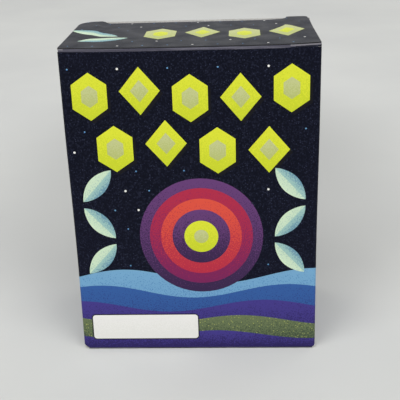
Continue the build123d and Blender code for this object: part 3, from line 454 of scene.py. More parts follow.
# The print: plain geometric shapes in the carton's colours

motifs = {
    "discSides": (20, 56),  # of small and big discs
    "bigDisc": 4,
    "leafCount": 14,  # points along each side of a leaf
    "leafPoint": 0.8,
    "gemHeart": 0.46,
    "gemDrop": 0.9,  # how far the drop shade lies to the lower right
    "dotPitch": 7.4,
    "dotRowShare": 0.87,
    "dotRadii": {"white": 0.36, "sky": 0.26},
    "waveTop": 27.0,
    "waveStep": 5.4,  # each wave lies lower by this,
    "waveShift": 0.13,  # is shifted by this share of its length
    "waveCalm": 0.1,  # and swings less by this share
    "waveSwing": 2.6,
    "waveLength": 61.3,  # a quarter of the way round the carton
    "waveFoot": 0.5,
    "wavePoints": 1.5,
    "waveColours": ("sky", "blue", "violet", "olive", "violet"),
}


def turnedTo(cx, cy, degrees, x, y):
    # (x, y) turned about the origin, then moved with the origin to (cx, cy)
    cosine, sine = cos(radians(degrees)), sin(radians(degrees))
    return (cx + x * cosine - y * sine, cy + x * sine + y * cosine)


def arcOf(cx, cy, radius, start, step, count):
    angles = [radians(start + step * k) for k in range(count)]
    return [(cx + radius * cos(angle), cy + radius * sin(angle)) for angle in angles]


def ringOf(cx, cy, radius, sides, turn=0.0, wide=1.0, high=1.0, lean=0.0):
    angles = [radians(turn) + 2 * pi * k / sides for k in range(sides)]
    return [turnedTo(cx, cy, lean, wide * radius * cos(angle), high * radius * sin(angle))
            for angle in angles]


def disc(ink, cx, cy, radius):
    return shape(ink, ringOf(cx, cy, radius, motifs["discSides"][radius > motifs["bigDisc"]]))


def target(cx, cy, radii, colours):
    return [disc(ink, cx, cy, radius) for ink, radius in zip(colours, radii)]


def leaf(cx, cy, length, width, lean):
    # a pointed oval in two tones, split along its length
    def laid(*points):
        return [turnedTo(cx, cy, lean, x, y) for x, y in points]
    count = motifs["leafCount"]
    right = [(width / 2 * sin(pi * k / count) ** motifs["leafPoint"], length * (k / count - 0.5))
             for k in range(count + 1)]
    left = [(-x, y) for x, y in right]
    return [
        shape("mint", laid(*right, *left[-2:0:-1]), *laid((-width / 2, 0), (width * 0.9, 0))),
        shape("mintShade", laid(*right), *laid((0, 0), (width * 0.6, 0))),
    ]


def gem(cx, cy, wide, high, turn=0.0, sides=4, colours=("lime", "paleLime")):
    # a shape with a middle of another colour and a dark drop shade
    body = ringOf(cx, cy, 1.0, sides, 90, wide, high, turn)
    heart = ringOf(cx, cy, motifs["gemHeart"], sides, 90, wide, high, turn)
    drop = [(x + motifs["gemDrop"], y - motifs["gemDrop"]) for x, y in body]
    return [shape("key", drop), shape(colours[0], body), shape(colours[1], heart)]


def waves(left, right):
    plan, bands = motifs, []
    count = max(8, round((right - left) / plan["wavePoints"]))
    for k, ink in enumerate(plan["waveColours"]):
        level = plan["waveTop"] - plan["waveStep"] * k
        swing = plan["waveSwing"] * (1 - plan["waveCalm"] * k)
        line = []
        for i in range(count + 1):
            x = left + (right - left) * i / count
            turns = x / plan["waveLength"] + plan["waveShift"] * k
            line.append((x, level + swing * sin(2 * pi * turns)))
        foot = [(left, plan["waveFoot"]), (right, plan["waveFoot"])]
        bands.append(shape(ink, foot + line[::-1], (left, level + swing), foot[0]))
    return bands


def dotField(left, right, low, high, avoid):
    dots, row, pitch = [], 0, motifs["dotPitch"]
    y = low
    while y < high:
        x = left + (pitch / 2 if row % 2 else 0)
        while x < right:
            if all((x - ax) ** 2 + (y - ay) ** 2 > reach ** 2 for ax, ay, reach in avoid):
                ink = "sky" if (row + round(x / pitch)) % 3 else "white"
                dots.append(disc(ink, x, y, motifs["dotRadii"][ink]))
            x += pitch
        y += pitch * motifs["dotRowShare"]
        row += 1
    return dots


def panelArt(plan, middle):
    # dots first, but not in the clear circles, then the plan's motifs in their order
    left, right, low, high = plan["dots"]
    clear = [(middle + x, y, reach) for x, y, reach in plan["clear"]]
    art = dotField(middle + left, middle + right, low, high, clear)
    for motif, x, y, *sizes in plan["motifs"]:
        art += motif(middle + x, y, *sizes)
    return art


# Plans of the panels: left, right, low and high of the dots; circles that stay clear of them; motifs
# with their places from the middle of the panel and their sizes
warmRings = ("purple", "crimson", "red", "purple", "lime")
coolRings = ("violet", "blue", "sky", "violet", "lime")
gemRows = ((87.0, 5, 15.0, 6.1, 7.4), (70.5, 4, 15.6, 6.3, 7.4))  # height, count, pitch, half sizes
gemPlaces = [(k, (k - (count - 1) / 2) * pitch, z, wide, high)
             for z, count, pitch, wide, high in gemRows for k in range(count)]
leafPlaces = [(side * (42 - 84 * (k % 2)), side * 30.0, 33.5 + 12.5 * k)
              for side in (-1, 1) for k in range(3)]
frontPlan = {
    "dots": (-36, 36.5, 31, 98),
    "clear": [(2.0, 41.0, 21.6)] + [(x, z, 8.8) for _, x, z, _, _ in gemPlaces]
             + [(x, z, 6.5) for _, x, z in leafPlaces],
    "motifs": [(target, 2.0, 41.0, (19.6, 16.4, 12.9, 9.2, 5.4, 2.3), warmRings + ("paleLime",))]
              + [(gem, x, z + 1.6 * sin(k * 1.9), wide, high, 0, 4 if k % 2 else 6)
                 for k, x, z, wide, high in gemPlaces]
              + [(leaf, x, z, 14.0, 5.8, lean) for lean, x, z in leafPlaces],
}
backPlan = {
    "dots": (-36, 36.5, 31, 98),
    "clear": [(-17, 76, 17), (19, 62, 15), (-20, 45, 12)],
    "motifs": [(target, -17, 76, (15, 12.2, 9.4, 6.4, 3.4), warmRings),
               (target, 19, 62, (13, 10.4, 7.8, 5.0, 2.4), coolRings)]
              + [(gem, 5 + 9.6 * k, 88, 3.6, 4.8, 0, 6 if k % 2 else 4) for k in range(4)]
              + [(leaf, -27 + 10.4 * k, 46, 13.0, 4.6, -30 + 20 * k) for k in range(4)],
}
rosette = [(leaf, 8.2 * cos(radians(turn)), 80 + 8.2 * sin(radians(turn)), 11.0, 4.4,
            turn - 90) for turn in range(90, 450, 72)]
rightPlan, leftPlan = ({
    "dots": (-20, 20.5, 31, 98),
    "clear": [(0, 50, 16), (0, 80, 14)],
    "motifs": [(target, 0, 50, (14, 11.4, 8.8, 6.0, 3.2), warmRings)] + rosette
              + [(gem, 0, 80, 3.2, 3.2, turn, 6)],
} for turn in (30, -30))
lidPlan = {
    "dots": (-36, 36.5, -19, 20),
    "clear": [(-29, -4, 11)] + [(-10 + 13.2 * k, 0, 9.5) for k in range(4)],
    "motifs": [(leaf, -31, 1, 18, 6.4, 62), (leaf, -27, -9, 16, 5.6, -68)]
              + [(gem, -10 + 13.2 * k, 2.0 * sin(k * 2.1), 5.6, 9.4, 0, 4 if k % 2 else 6,
                  ("paleLime", "lime")) for k in range(4)],
}
blankPanel = {"left": -34.9, "right": 0.0, "low": 4.05, "high": 12.95, "corner": 1.0, "rim": 0.35}


def roundedPlate(left, right, low, high, corner):
    points = []
    for x, y, turn in ((right - corner, high - corner, 0), (left + corner, high - corner, 90),
                       (left + corner, low + corner, 180), (right - corner, low + corner, 270)):
        points += arcOf(x, y, corner, turn, 22.5, 5)
    return points


def blankArt(middle):
    # a bare white panel with a thin dark rim
    left, right = middle + blankPanel["left"], middle + blankPanel["right"]
    low, high, corner, rim = (blankPanel[key] for key in ("low", "high", "corner", "rim"))
    return [
        shape("key", roundedPlate(left - rim, right + rim, low - rim, high + rim, corner + rim)),
        shape("white", roundedPlate(left, right, low, high, corner)),
    ]


# Sleeve: the four walls unrolled from the glued corner, left wall, front, right wall and back

foldArc = pi / 2 * foldRadius
sideRun, frontRun = 2 * halfD - 2 * foldRadius, 2 * halfW - 2 * foldRadius
overlap = carton["glueOverlap"]
leftStart = -(sideRun + overlap)
walls = [  # start along the sheet, length, corner that it starts from, direction, outward normal
    (leftStart, sideRun + overlap, (-halfW, halfD - foldRadius + overlap), (0, -1), (-1, 0)),
    (foldArc, frontRun, (-halfW + foldRadius, -halfD), (1, 0), (0, -1)),
    (2 * foldArc + frontRun, sideRun, (halfW, -halfD + foldRadius), (0, 1), (1, 0)),
    (3 * foldArc + frontRun + sideRun, frontRun, (halfW - foldRadius, halfD), (-1, 0), (0, 1)),
]
frontMiddle, rightMiddle, backMiddle = (wall[0] + wall[1] / 2 for wall in walls[1:])
leftMiddle = -sideRun / 2
backEnd = 3 * foldArc + 2 * frontRun + sideRun
flapShift = board + carton["glueGap"] - (foldRadius - flapRadius)  # the glue flap lies inside the left wall


def panelSag(x, half, z):
    # panels lie in a little between their folds, never the same twice
    swell = swelling(min(1.0, abs(x) / half), (z - tall / 2) / (tall / 2))
    uneven, (rippleX, rippleZ) = carton["sagUneven"], carton["sagRipple"]
    return carton["sag"] * swell * (1 - uneven + uneven * sin(x / rippleX + z / rippleZ))


def sheetSpot(s, z, depth):
    for start, run, corner, (dx, dy), (nx, ny) in walls:
        if start - 1e-6 <= s <= start + run + 1e-6:
            half = (frontRun if run == frontRun else sideRun) / 2
            inward = depth + panelSag(s - (start + run - half), half, z)
            glued = flapShift * max(0.0, (s - backEnd) / carton["glueEase"] + 1) ** 2
            return (
                corner[0] + dx * (s - start) - nx * inward + glued,
                corner[1] + dy * (s - start) - ny * inward,
                z,
            )
    if s > backEnd:  # fold of the glue flap, then the flap inside the left wall
        turn = min((s - backEnd) / flapRadius, pi / 2)
        bend = flapRadius - depth
        x = -halfW + foldRadius + flapShift - bend * sin(turn)
        y = halfD - flapRadius + bend * cos(turn)
        return (x, y - max(0.0, s - backEnd - flapRadius * pi / 2), z)
    for wall, following in zip(walls, walls[1:]):  # upright folds
        foldStart = wall[0] + wall[1]
        if foldStart < s < following[0]:
            corner, (mx, my), (nx, ny) = following[2], wall[4], following[4]
            turn = (s - foldStart) / foldRadius
            bend = foldRadius - depth
            return (
                corner[0] - nx * foldRadius + bend * (mx * cos(turn) + nx * sin(turn)),
                corner[1] - ny * foldRadius + bend * (my * cos(turn) + ny * sin(turn)),
                z,
            )


crease = {  # fold between the front and the lid, as shares of its radius from the front up
    "profile": ((1.0, 0.0), (0.985, 0.12), (0.93, 0.24), (0.82, 0.35), (0.73, 0.42), (0.66, 0.445),
                (0.60, 0.50), (0.50, 0.62), (0.41, 0.71), (0.33, 0.765), (0.25, 0.75), (0.19, 0.80),
                (0.13, 0.92), (0.06, 0.985), (0.0, 1.0)),
    "step": 1.5,
    "sag": 0.35,  # lower in the middle than at the corners
    "sagFrom": 84.0,  # level from which the front's upper edge bows with it,
    "sagReach": 1.6,  # as far back as this from the front
    "wide": 1.0,
    "wideFrom": (25.0, 37.5),
    "paintedShadeFrom": 10,  # from this strip up the groove is painted with the key ink: painted shade in the crease
    "worn": (28.0, 36.5),  # between these the wear leaves the lower strips, towards the right corner
    "wornEnd": 6,
    "bare": (-36.6, 29.0),  # beyond these, to the left and right, the middle strips are rubbed pale
    "bareStrips": (5, 9),
}


def creaseWidening(x):
    # how much further back the crease reaches towards the right corner
    first, last = crease["wideFrom"]
    return crease["wide"] * clamped((x - first) / (last - first)) ** 1.5


def creaseSag(x):
    return crease["sag"] * (1 - min(1.0, abs(x) / halfW) ** 4)


def sleevePoint(s, z, depth):
    x, y, z = sheetSpot(s, z, depth)
    pinch = carton["pinch"][0 if x < 0 else 1]
    share = max(0.0, 1 - ((z - carton["pinchLevel"]) / carton["pinchReach"]) ** 2) ** 2
    if y < crease["sagReach"] - halfD:
        z -= creaseSag(x) * max(0.0, (z - crease["sagFrom"]) / (tall - crease["sagFrom"])) ** 2
    return (x * (1 - pinch * share / halfW), y, z)


frontTop, backTop = tall - topR, tall - carton["backDrop"]
sideTop = backTop - dustR
frontFoot, sideFoot, backFoot = bottomR, 1.5, 1.0
glueFlap = {
    "depth": 11.2,  # beyond its fold
    "shoulder": 0.6,
    "low": (4.0, 9.0),  # lower end, at the fold and at the free edge
    "high": (97.6, 92.5),
}
flapFold = flapRadius * pi / 2
flapEnd = backEnd + flapFold + glueFlap["depth"]
flapRoot = backEnd + glueFlap["shoulder"]
(_, _), (frontA, frontB), (rightA, rightB), (backA, _) = [(wall[0], wall[0] + wall[1]) for wall in walls]
frontCorner = foldArc * 1.4 + frontRun
sleeveOutline = [
    (leftStart, sideFoot), (0.2, sideFoot + 0.5),
    (frontA, frontFoot + 0.7), (frontA + 0.9, frontFoot), (frontB - 0.2, frontFoot),
    (frontCorner, frontFoot + 0.4),
    (rightA + 0.2, sideFoot), (rightB - 0.2, sideFoot),
    (backA + 0.2, backFoot), (backEnd, backFoot),
    (flapRoot, glueFlap["low"][0]), (flapEnd, glueFlap["low"][1]),
    (flapEnd, glueFlap["high"][1]), (flapRoot, glueFlap["high"][0]),
    (backEnd, backTop), (backA + 0.2, backTop), (rightB + 0.1, backTop),
    (rightB - 0.6, sideTop), (rightA + 0.6, sideTop),
    (frontCorner, frontTop), (foldArc * 0.6, frontTop),
    (-0.6, sideTop), (-sideRun + 0.6, sideTop),
    (leftStart, backTop - 0.4),
]
sleeveArt = waves(leftStart, backEnd) + panelArt(frontPlan, frontMiddle) + panelArt(backPlan, backMiddle)
sleeveArt += panelArt(rightPlan, rightMiddle) + panelArt(leftPlan, leftMiddle) + blankArt(frontMiddle)
foldPlaces = [wall[0] + wall[1] + foldArc * i / 6 for wall in walls[:3] for i in range(7)]
foldPlaces += [backEnd + flapFold * i / 5 for i in range(6)]
# the navy ground is painted lighter towards the foot of the walls: a painted reflection of the lit floor
sleeve = printedSheet("sleeve", sleeveOutline, sleeveArt, sleevePoint, ends=((0, 70.0), (0, -20.0)),
                      lines=[((s, 0.0), (s, tall)) for s in foldPlaces])
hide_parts("carton_sleeve")
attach(sleeve, "carton")
print("sleeve folded:", len(sleeve.data.polygons), "faces")


# Lid, with its print, and the creased strips that join it to the front and to the tuck flap

lid = {
    "front": -halfD + topR,
    "frontFoldReach": (38.1, 38.35),  # to the left and right
    "frontFoldSpread": 0.009,  # wider by this share for each millimetre up
    "frontEdge": (24.0, 26.0, 28.0, 30.0, 32.0, 34.0, 36.0, 38.5),  # points along it
    "back": 20.7,
    "endBack": (21.0, 22.2),  # where the left and right ends stop
    "halfWidth": 38.5,  # at the front
    "sideTaper": (0.0, 0.9),  # left and right, narrower by this at the back
    "backFold": (29.7, 30.3),  # reach of the tuck fold to the left and right
    "slit": (0.2, 0.5),  # sides of the slit at the fold's end and of its mouth, beyond that end
    "slitMouth": 0.3,
    "cornerRadii": (6.0, 1.6),  # left and right
    "sag": 0.15,
    "sagRipple": 9.0,
    "dip": 0.85,  # how far the middle lies lower along the tuck fold
    "dipLift": 0.5,  # share of it that is gone again towards the right end
    "dipEnd": (28.5, 31.5),  # where the dip fades out to the sides
}
levelEnds = ((0, -halfD), (0, 3 * halfD))  # of the ground's shading on the level sheets


def foldDip(x):
    # how far the lid lies low along the tuck fold
    lift = lid["dipLift"] * max(0.0, x / lid["dipEnd"][1]) ** 5
    return lid["dip"] * (1 - min(1.0, lift))


def lidPoint(x, y, depth):
    swell = swelling(x / halfW, y / halfD)
    inner, outer = lid["dipEnd"]
    fade = eased((outer - abs(x)) / (outer - inner))
    share = eased((y - lid["front"]) / (lid["back"] - lid["front"]))
    dip = foldDip(x) * fade * share + creaseSag(x) * (1 - share)
    uneven = carton["sagUneven"]
    sag = lid["sag"] * swell * (1 - uneven + uneven * sin(x / lid["sagRipple"]))
    return (x, y, tall - sag - dip - depth)


def lidHalf(corner, foldEnd, taper, endBack):
    # half of the lid's outline, from the front to the tuck fold, round one back corner
    backCorner = arcOf(lid["halfWidth"] - taper - corner, endBack - corner, corner, 0, 15, 7)
    slitSide, mouthSide = (foldEnd + reach for reach in lid["slit"])
    return [(lid["halfWidth"], lid["front"])] + backCorner + [
        (mouthSide, endBack), (slitSide, endBack - lid["slitMouth"]), (slitSide, lid["back"])]


lidLeft, lidRight = (
    lidHalf(*sizes) for sizes in zip(lid["cornerRadii"], lid["backFold"], lid["sideTaper"], lid["endBack"]))
lidOutline = [(x, lid["front"] + creaseWidening(x)) for x in lid["frontEdge"]]
lidOutline += lidRight[1:] + [(-x, y) for x, y in lidLeft[::-1]]
lidPiece = printedSheet("lid", lidOutline, panelArt(lidPlan, 0), lidPoint, ends=levelEnds)
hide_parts("top_lid")
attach(lidPiece, "lid")


def creaseProfiles(radius, groove=0.0, count=14):
    # quarter rounds from the upright face to the level one, as (out, up) from the fold's centre
    outer, inner = [], []
    for k in range(count + 1):
        angle = pi / 2 * k / count
        dented = radius - groove * math.exp(-((math.degrees(angle) - 45) / 7.0) ** 2)
        outer.append((dented * cos(angle), dented * sin(angle)))
        inner.append(((radius - board) * cos(angle), (radius - board) * sin(angle)))
    return outer, inner


def lidFoldPoint(along, out, up):
    reach = halfW - 0.01
    x = max(-reach, min(reach, along * (1 + lid["frontFoldSpread"] * up)))
    turned = max(0.0, abs(along) - halfW + foldRadius)  # into the upright fold
    inward = (foldRadius - math.sqrt(foldRadius ** 2 - turned ** 2)) * out / topR
    inward += creaseWidening(along) * (1 - out / topR)
    return (x, -halfD + topR - out + inward, tall - topR + up - creaseSag(along))


def lidFoldInk(along, strip):
    # the groove's strips get the key ink: painted shade in the crease
    if strip >= crease["paintedShadeFrom"]:
        return "key"
    if not crease["bare"][0] < along < crease["bare"][1] and strip in range(*crease["bareStrips"]):
        return "rubbed"
    first, last = crease["worn"]
    return "navy" if strip < crease["wornEnd"] * min(1.0, (along - first) / (last - first)) else "fold"


frontProfile = [(out * topR, up * topR) for out, up in crease["profile"]]
frontInside = creaseProfiles(topR, count=len(frontProfile) - 1)[1]
frontFold = foldStrip("lidFold", (frontProfile, frontInside), lidFoldPoint,
                      -lid["frontFoldReach"][0], lid["frontFoldReach"][1], lidFoldInk, crease["step"])
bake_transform(frontFold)


# Tuck flap and its soft fold

tuck = {
    "axis": (21.862, 101.35),
    "lean": 18.0,
    "root": 0.9,  # from the fold's axis to the flap's own sheet
    "depth": 11.9,
    "reach": (29.6, 30.2),  # to the left and right of the middle
    "taper": 2.4,
    "cornerRadius": 5.0,
    "outerPull": (0.22, 0.05),  # where the fold's faces are drawn to, from its axis and the lid's level
    "innerPull": (-0.28, -0.5),
    "foldPoints": 12,
}
leanCos, leanSin = cos(radians(tuck["lean"])), sin(radians(tuck["lean"]))
axisY, axisZ = tuck["axis"]
foldLevel = tall - lid["dip"]


def tuckPoint(x, v, depth):
    # v runs up the flap to the fold; the printed face looks to the back
    out = board / 2 - depth
    return (x, axisY + out * leanCos + v * leanSin, axisZ - out * leanSin + v * leanCos)


def tuckHalf(reach):
    # from the root of the flap round one corner of its tip
    corner = tuck["cornerRadius"]
    tip = arcOf(reach - tuck["taper"] - corner, corner - tuck["depth"], corner, 0, -15, 7)
    return [(reach, -tuck["root"])] + tip


tuckLeft, tuckRight = (tuckHalf(reach) for reach in tuck["reach"])
tuckPiece = printedSheet("tuckFlap", [(-x, y) for x, y in tuckLeft] + tuckRight[::-1], [], tuckPoint)
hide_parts("top_tuck_flap")
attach(tuckPiece, "tuck_flap")


def tuckFoldProfile(depth, pull):
    # a soft bend from the lid's level to the flap
    first, last = (lid["back"], foldLevel - depth), tuckPoint(0, -tuck["root"], depth)[1:]
    middle = (axisY + pull[0], foldLevel + pull[1])
    points = []
    for t in (k / tuck["foldPoints"] for k in range(tuck["foldPoints"] + 1)):
        points.append(tuple(
            (1 - t) ** 2 * first[i] + 2 * t * (1 - t) * middle[i] + t ** 2 * last[i] for i in (0, 1)))
    return points


tuckProfiles = (tuckFoldProfile(0.0, tuck["outerPull"]), tuckFoldProfile(board, tuck["innerPull"]))
flapTop = tuckPoint(0, -tuck["root"], 0.0)[1:]


def tuckFoldPoint(along, y, z):
    # the lid's side of the strip follows the lid
    share = max(0.0, z - flapTop[1]) / (foldLevel - flapTop[1])
    return (along, y, z + (lid["dip"] - foldDip(along)) * share)


tuckFold = foldStrip("tuckFold", tuckProfiles, tuckFoldPoint, -lid["backFold"][0], lid["backFold"][1])
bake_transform(tuckFold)


# Dust flaps with their creased strips

dust = {
    "top": 101.0,
    "droop": 1.6,  # how much lower the free edge lies
    "reach": 31.8,
    "halfLength": 21.7,
    "frontCorner": (3.0, 0.6),
    "taperShare": 0.42,
    "back": 19.7,
    "shoulder": 6.0,
    "shoulderSlope": 1.6,
    "cornerRadius": 3.0,
}
dustRoot = halfW - dustR
dustCentre = dust["top"] - dustR


def roundedCorner(before, corner, after, radius, count=6):
    a, b, c = Vector(before), Vector(corner), Vector(after)
    u, v = (a - b).normalized(), (c - b).normalized()
    half = math.acos(max(-1, min(1, u.dot(v)))) / 2
    reach = radius / math.tan(half)
    centre = b + (u + v).normalized() * (radius / sin(half))
    first, last = b + u * reach - centre, b + v * reach - centre
    points = []
    for k in range(count + 1):
        way = first.lerp(last, k / count)
        points.append(tuple(centre + way.normalized() * radius))
    return points


def dustOutline(side):
    front, tip = -dust["halfLength"], halfW - dust["reach"]
    near, far = (dustRoot, front), (tip, front + dust["taperShare"] * dust["reach"])
    farBack, shoulder = (tip, dust["back"]), halfW - dust["shoulder"]
    contour = [near, (halfW - dust["frontCorner"][0], front + dust["frontCorner"][1])]
    contour += roundedCorner(near, far, farBack, dust["cornerRadius"])
    contour += roundedCorner(far, farBack, (shoulder, dust["back"]), dust["cornerRadius"])
    contour += [(shoulder, dust["back"]), (shoulder + dust["shoulderSlope"], dust["halfLength"]),
                (dustRoot, dust["halfLength"])]
    return [(side * x, y) for x, y in contour][::-side]


def dustPoint(x, y, depth):
    rest = 1 - (dustRoot - abs(x)) / dust["reach"]
    return (x, y, dust["top"] - dust["droop"] * (1 - rest ** 2) - depth)


for side, label, node, body in ((-1, "Left", "top_dust_flap_left", "dust_flap_left"),
                                (1, "Right", "top_dust_flap_right", "dust_flap_right")):
    flap = printedSheet("dustFlap" + label, dustOutline(side), [], dustPoint, ends=levelEnds)
    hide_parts(node)
    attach(flap, body)
    strip = foldStrip(
        "dustFold" + label, creaseProfiles(dustR),
        lambda along, out, up: (side * (dustRoot + out), along, dustCentre + up),
        -dust["halfLength"], dust["halfLength"],
    )
    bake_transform(strip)


# Bottom: the outer flap comes round from the front

bottomFlap = {
    "halfWidth": 38.15,
    "back": 22.7,
    "cornerRadius": 2.0,
    "foldReach": (36.9, 37.6),  # to the left and right
    "frontCorner": 1.2,  # cut off beside the fold
    "foldGroove": 0.05,
}


def bottomPoint(x, v, depth):
    # v runs from the front fold to the back, seen from below
    return (x, -v, depth)


bottomSide, bottomFront, bottomBack = bottomFlap["halfWidth"], halfD - bottomR, -bottomFlap["back"]
foldLeft, foldRight = bottomFlap["foldReach"]
bottomOutline = [
    (bottomSide, bottomFront - bottomFlap["frontCorner"]),
    (foldRight, bottomFront),
    (-foldLeft, bottomFront),
    (-bottomSide, bottomFront - bottomFlap["frontCorner"]),
]
bottomOutline += roundedCorner((-bottomSide, 0), (-bottomSide, bottomBack), (0, bottomBack),
                               bottomFlap["cornerRadius"])
bottomOutline += roundedCorner((0, bottomBack), (bottomSide, bottomBack), (bottomSide, 0),
                               bottomFlap["cornerRadius"])
bottomPiece = printedSheet("bottomFlap", bottomOutline, [], bottomPoint)
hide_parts("bottom_outer_flap")
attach(bottomPiece, "carton")
bottomFold = foldStrip(
    "bottomFold", creaseProfiles(bottomR, bottomFlap["foldGroove"]),
    lambda along, out, up: (along, -halfD + bottomR - out, bottomR - up),
    -foldLeft, foldRight,
)
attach(bottomFold, "carton")
print("lid, flaps and folds made")


# Finishes of the contents

def dress(finish, *names):
    for name in names:
        mesh = nodes[name].data
        mesh.materials.clear()
        mesh.materials.append(finish)


def plastic(name, roughness, scale, bump, **sockets):
    # the surface of a moulded part, still without its paint
    part = Finish(name, **sockets)
    part.rough(part.noise(scale, 3.0), roughness)
    part.relief(part.noise(scale * 4, 2.0), bump, 0.03)
    return part


dress(boardInside, "bottom_inner_flap", "bottom_dust_flap_left", "bottom_dust_flap_right")
dress(rawBoard("insertBoard", ((206, 196, 178), (176, 164, 144))), "card_insert")
dress(printedInk("bookletCover", (40, 66, 140), (24, 30, 74), specks=(200, 214, 90), speckShare=0.2,
                 grain=1800.0), "booklet_cover")

pinLook = {
    "paints": ((238, 238, 232), (222, 222, 218)),
    "band": tint(206, 34, 44),
    "bands": ((0.655, 0.69), (0.72, 0.755)),  # as shares of the height
    "wobble": 0.003,
}
pinLow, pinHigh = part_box("bowling_pin_01")
pin = plastic("pinWhite", (0.22, 0.34), 300.0, 0.04,
              Subsurface_Weight=0.12, Subsurface_Scale=0.002, Coat_Weight=0.3)
rise = pin.fit(pin.axes()[2], pinLow.z, pinHigh.z)
rise = pin.math("ADD", rise, pin.fit(pin.noise(900.0), 0.3, 0.7, -pinLook["wobble"], pinLook["wobble"]))
rings = [pin.math("MULTIPLY", pin.math("GREATER_THAN", rise, low), pin.math("LESS_THAN", rise, high))
         for low, high in pinLook["bands"]]
pin.paint(pin.blend(pin.math("ADD", *rings), pin.mottled(pinLook["paints"]), pinLook["band"]))
dress(pin.material, *[f"bowling_pin_{n:02d}" for n in range(1, 11)])

ballLook = {"paints": ((176, 204, 46), (92, 138, 40)), "swirl": 230.0, "roughness": (0.16, 0.26)}
ball = Finish("ballResin", Coat_Weight=0.5, Coat_Roughness=0.08)
swirl = ball.add("TexNoise", Vector=ball.place, Scale=ballLook["swirl"], Detail=4.0, Roughness=0.6,
                 Distortion=1.6).outputs["Fac"]
ball.paint(ball.mottled(ballLook["paints"], swirl, 0.38, 0.62))
ball.rough(swirl, ballLook["roughness"])
ball.relief(ball.noise(500.0), 0.03, 0.02)
dress(ball.material, "bowling_ball")

pagesLook = {"paints": ((236, 235, 228), (190, 189, 184)), "leaves": 1700.0, "depth": 0.05}
pages = Finish("bookletPaper", Roughness=0.8, Specular_IOR_Level=0.2)
leaves = pages.add("TexWave", Vector=pages.place, Scale=pagesLook["leaves"], Distortion=0.4, Detail=1.0)
leaves.bands_direction = "Y"
pages.paint(pages.mottled(pagesLook["paints"], leaves.outputs["Fac"], 0.25, 0.75))
pages.relief(leaves.outputs["Fac"], 0.3, pagesLook["depth"])
dress(pages.material, "booklet_pages")

laneLook = {
    "paints": ((66, 60, 146), (48, 46, 118)),
    "marks": tint(206, 232, 214),  # fill the shallow marks in the upper face
    "markDepth": 0.3,
    "markSpread": 0.06,
    "markReach": 22.5,  # to both sides of the middle
}
for name in [f"lane_section_{n}" for n in range(1, 5)] + ["deck_base"]:
    lane = plastic("lanePlastic_" + name, (0.24, 0.4), 260.0, 0.05, Coat_Weight=0.2)
    across, down, _ = lane.axes()
    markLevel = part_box(name)[0].y + laneLook["markDepth"] * mm
    toMark = lane.math("ABSOLUTE", lane.math("SUBTRACT", down, markLevel))
    sunk = lane.math("LESS_THAN", toMark, laneLook["markSpread"] * mm)
    inLane = lane.math("LESS_THAN", lane.math("ABSOLUTE", across), laneLook["markReach"] * mm)
    base = lane.mottled(laneLook["paints"], lane.noise(160.0, 4.0, 0.6, (1.0, 1.0, 0.08)))
    lane.paint(lane.blend(lane.math("MULTIPLY", sunk, inLane), base, laneLook["marks"]))
    dress(lane.material, name)

clearResin = ((0.08, 0.16), 300.0, 0.02, {"Transmission_Weight": 0.5})
# name of the finish: pieces, two paints, roughness, scale and strength of the tooth, other sockets
mouldedParts = {
    "trayFormed": (["pin_tray"], ((30, 30, 40), (40, 40, 54)), (0.28, 0.42), 240.0, 0.12, {}),
    "housePlastic": (["house_cover", "bay_floor", "battery_door"], ((28, 30, 58), (36, 38, 70)),
                     (0.42, 0.58), 900.0, 0.25, {}),
    "paddlePlastic": (["trigger_paddle"], ((196, 212, 50), (176, 196, 44)), (0.3, 0.42), 420.0, 0.08, {}),
    "lensPlastic": (["brow_lens"], ((196, 230, 226), (170, 214, 220)), (0.1, 0.2), 300.0, 0.03,
                    {"Transmission_Weight": 0.7, "IOR": 1.49}),
    "resin_led_left": (["led_left"], ((214, 60, 56), (180, 40, 48)), *clearResin),
    "resin_led_middle": (["led_middle"], ((92, 196, 96), (64, 160, 80)), *clearResin),
    "resin_led_right": (["led_right"], ((64, 110, 216), (48, 84, 180)), *clearResin),
    "chipResin": (["sound_chip"], ((18, 18, 20), (30, 30, 34)), (0.16, 0.3), 300.0, 0.1, {}),
    "switchPlastic": (["power_switch", "trigger_switch"], ((24, 24, 28), (36, 36, 42)), (0.35, 0.5), 420.0,
                      0.08, {}),
    "knobPlastic": (["switch_knob"], ((206, 44, 48), (180, 36, 44)), (0.35, 0.5), 420.0, 0.08, {}),
}
for name, (pieces, paints, roughness, scale, bump, sockets) in mouldedParts.items():
    part = plastic(name, roughness, scale, bump, **sockets)
    part.paint(part.mottled(paints))
    dress(part.material, *pieces)

screws = [f"cover_screw_{n}" for n in range(1, 5)] + ["bay_screw_left", "bay_screw_right", "door_screw"]
drawn = (1.0, 1.0, 14.0)  # how the lines of the metal are stretched
# name of the finish: pieces, two paints, roughness, stretch of its lines
metalParts = {
    "wireSteel": (["booklet_staple_lower", "booklet_staple_upper", "paddle_axle"],
                  ((190, 192, 196), (150, 152, 158)), (0.22, 0.4), drawn),
    "screwZinc": (screws, ((176, 178, 184), (132, 134, 142)), (0.26, 0.5), drawn),
    "cellSteel": ([f"battery_cell_{n}" for n in range(1, 4)], ((206, 206, 208), (168, 168, 172)),
                  (0.18, 0.34), drawn),
    "contactNickel": (["battery_contact_left", "battery_contact_right"],
                      ((198, 190, 168), (150, 142, 122)), (0.22, 0.4), drawn),
    "speakerMetal": (["speaker"], ((150, 152, 158), (104, 106, 112)), (0.3, 0.5), (1.0, 1.0, 1.0)),
}
for name, (pieces, paints, roughness, stretch) in metalParts.items():
    part = Finish(name, Metallic=1.0)
    lines = part.noise(800.0, 4.0, 0.6, stretch)
    part.paint(part.mottled(paints, lines))
    part.rough(lines, roughness)
    part.relief(lines, 0.08, 0.02)
    dress(part.material, *pieces)

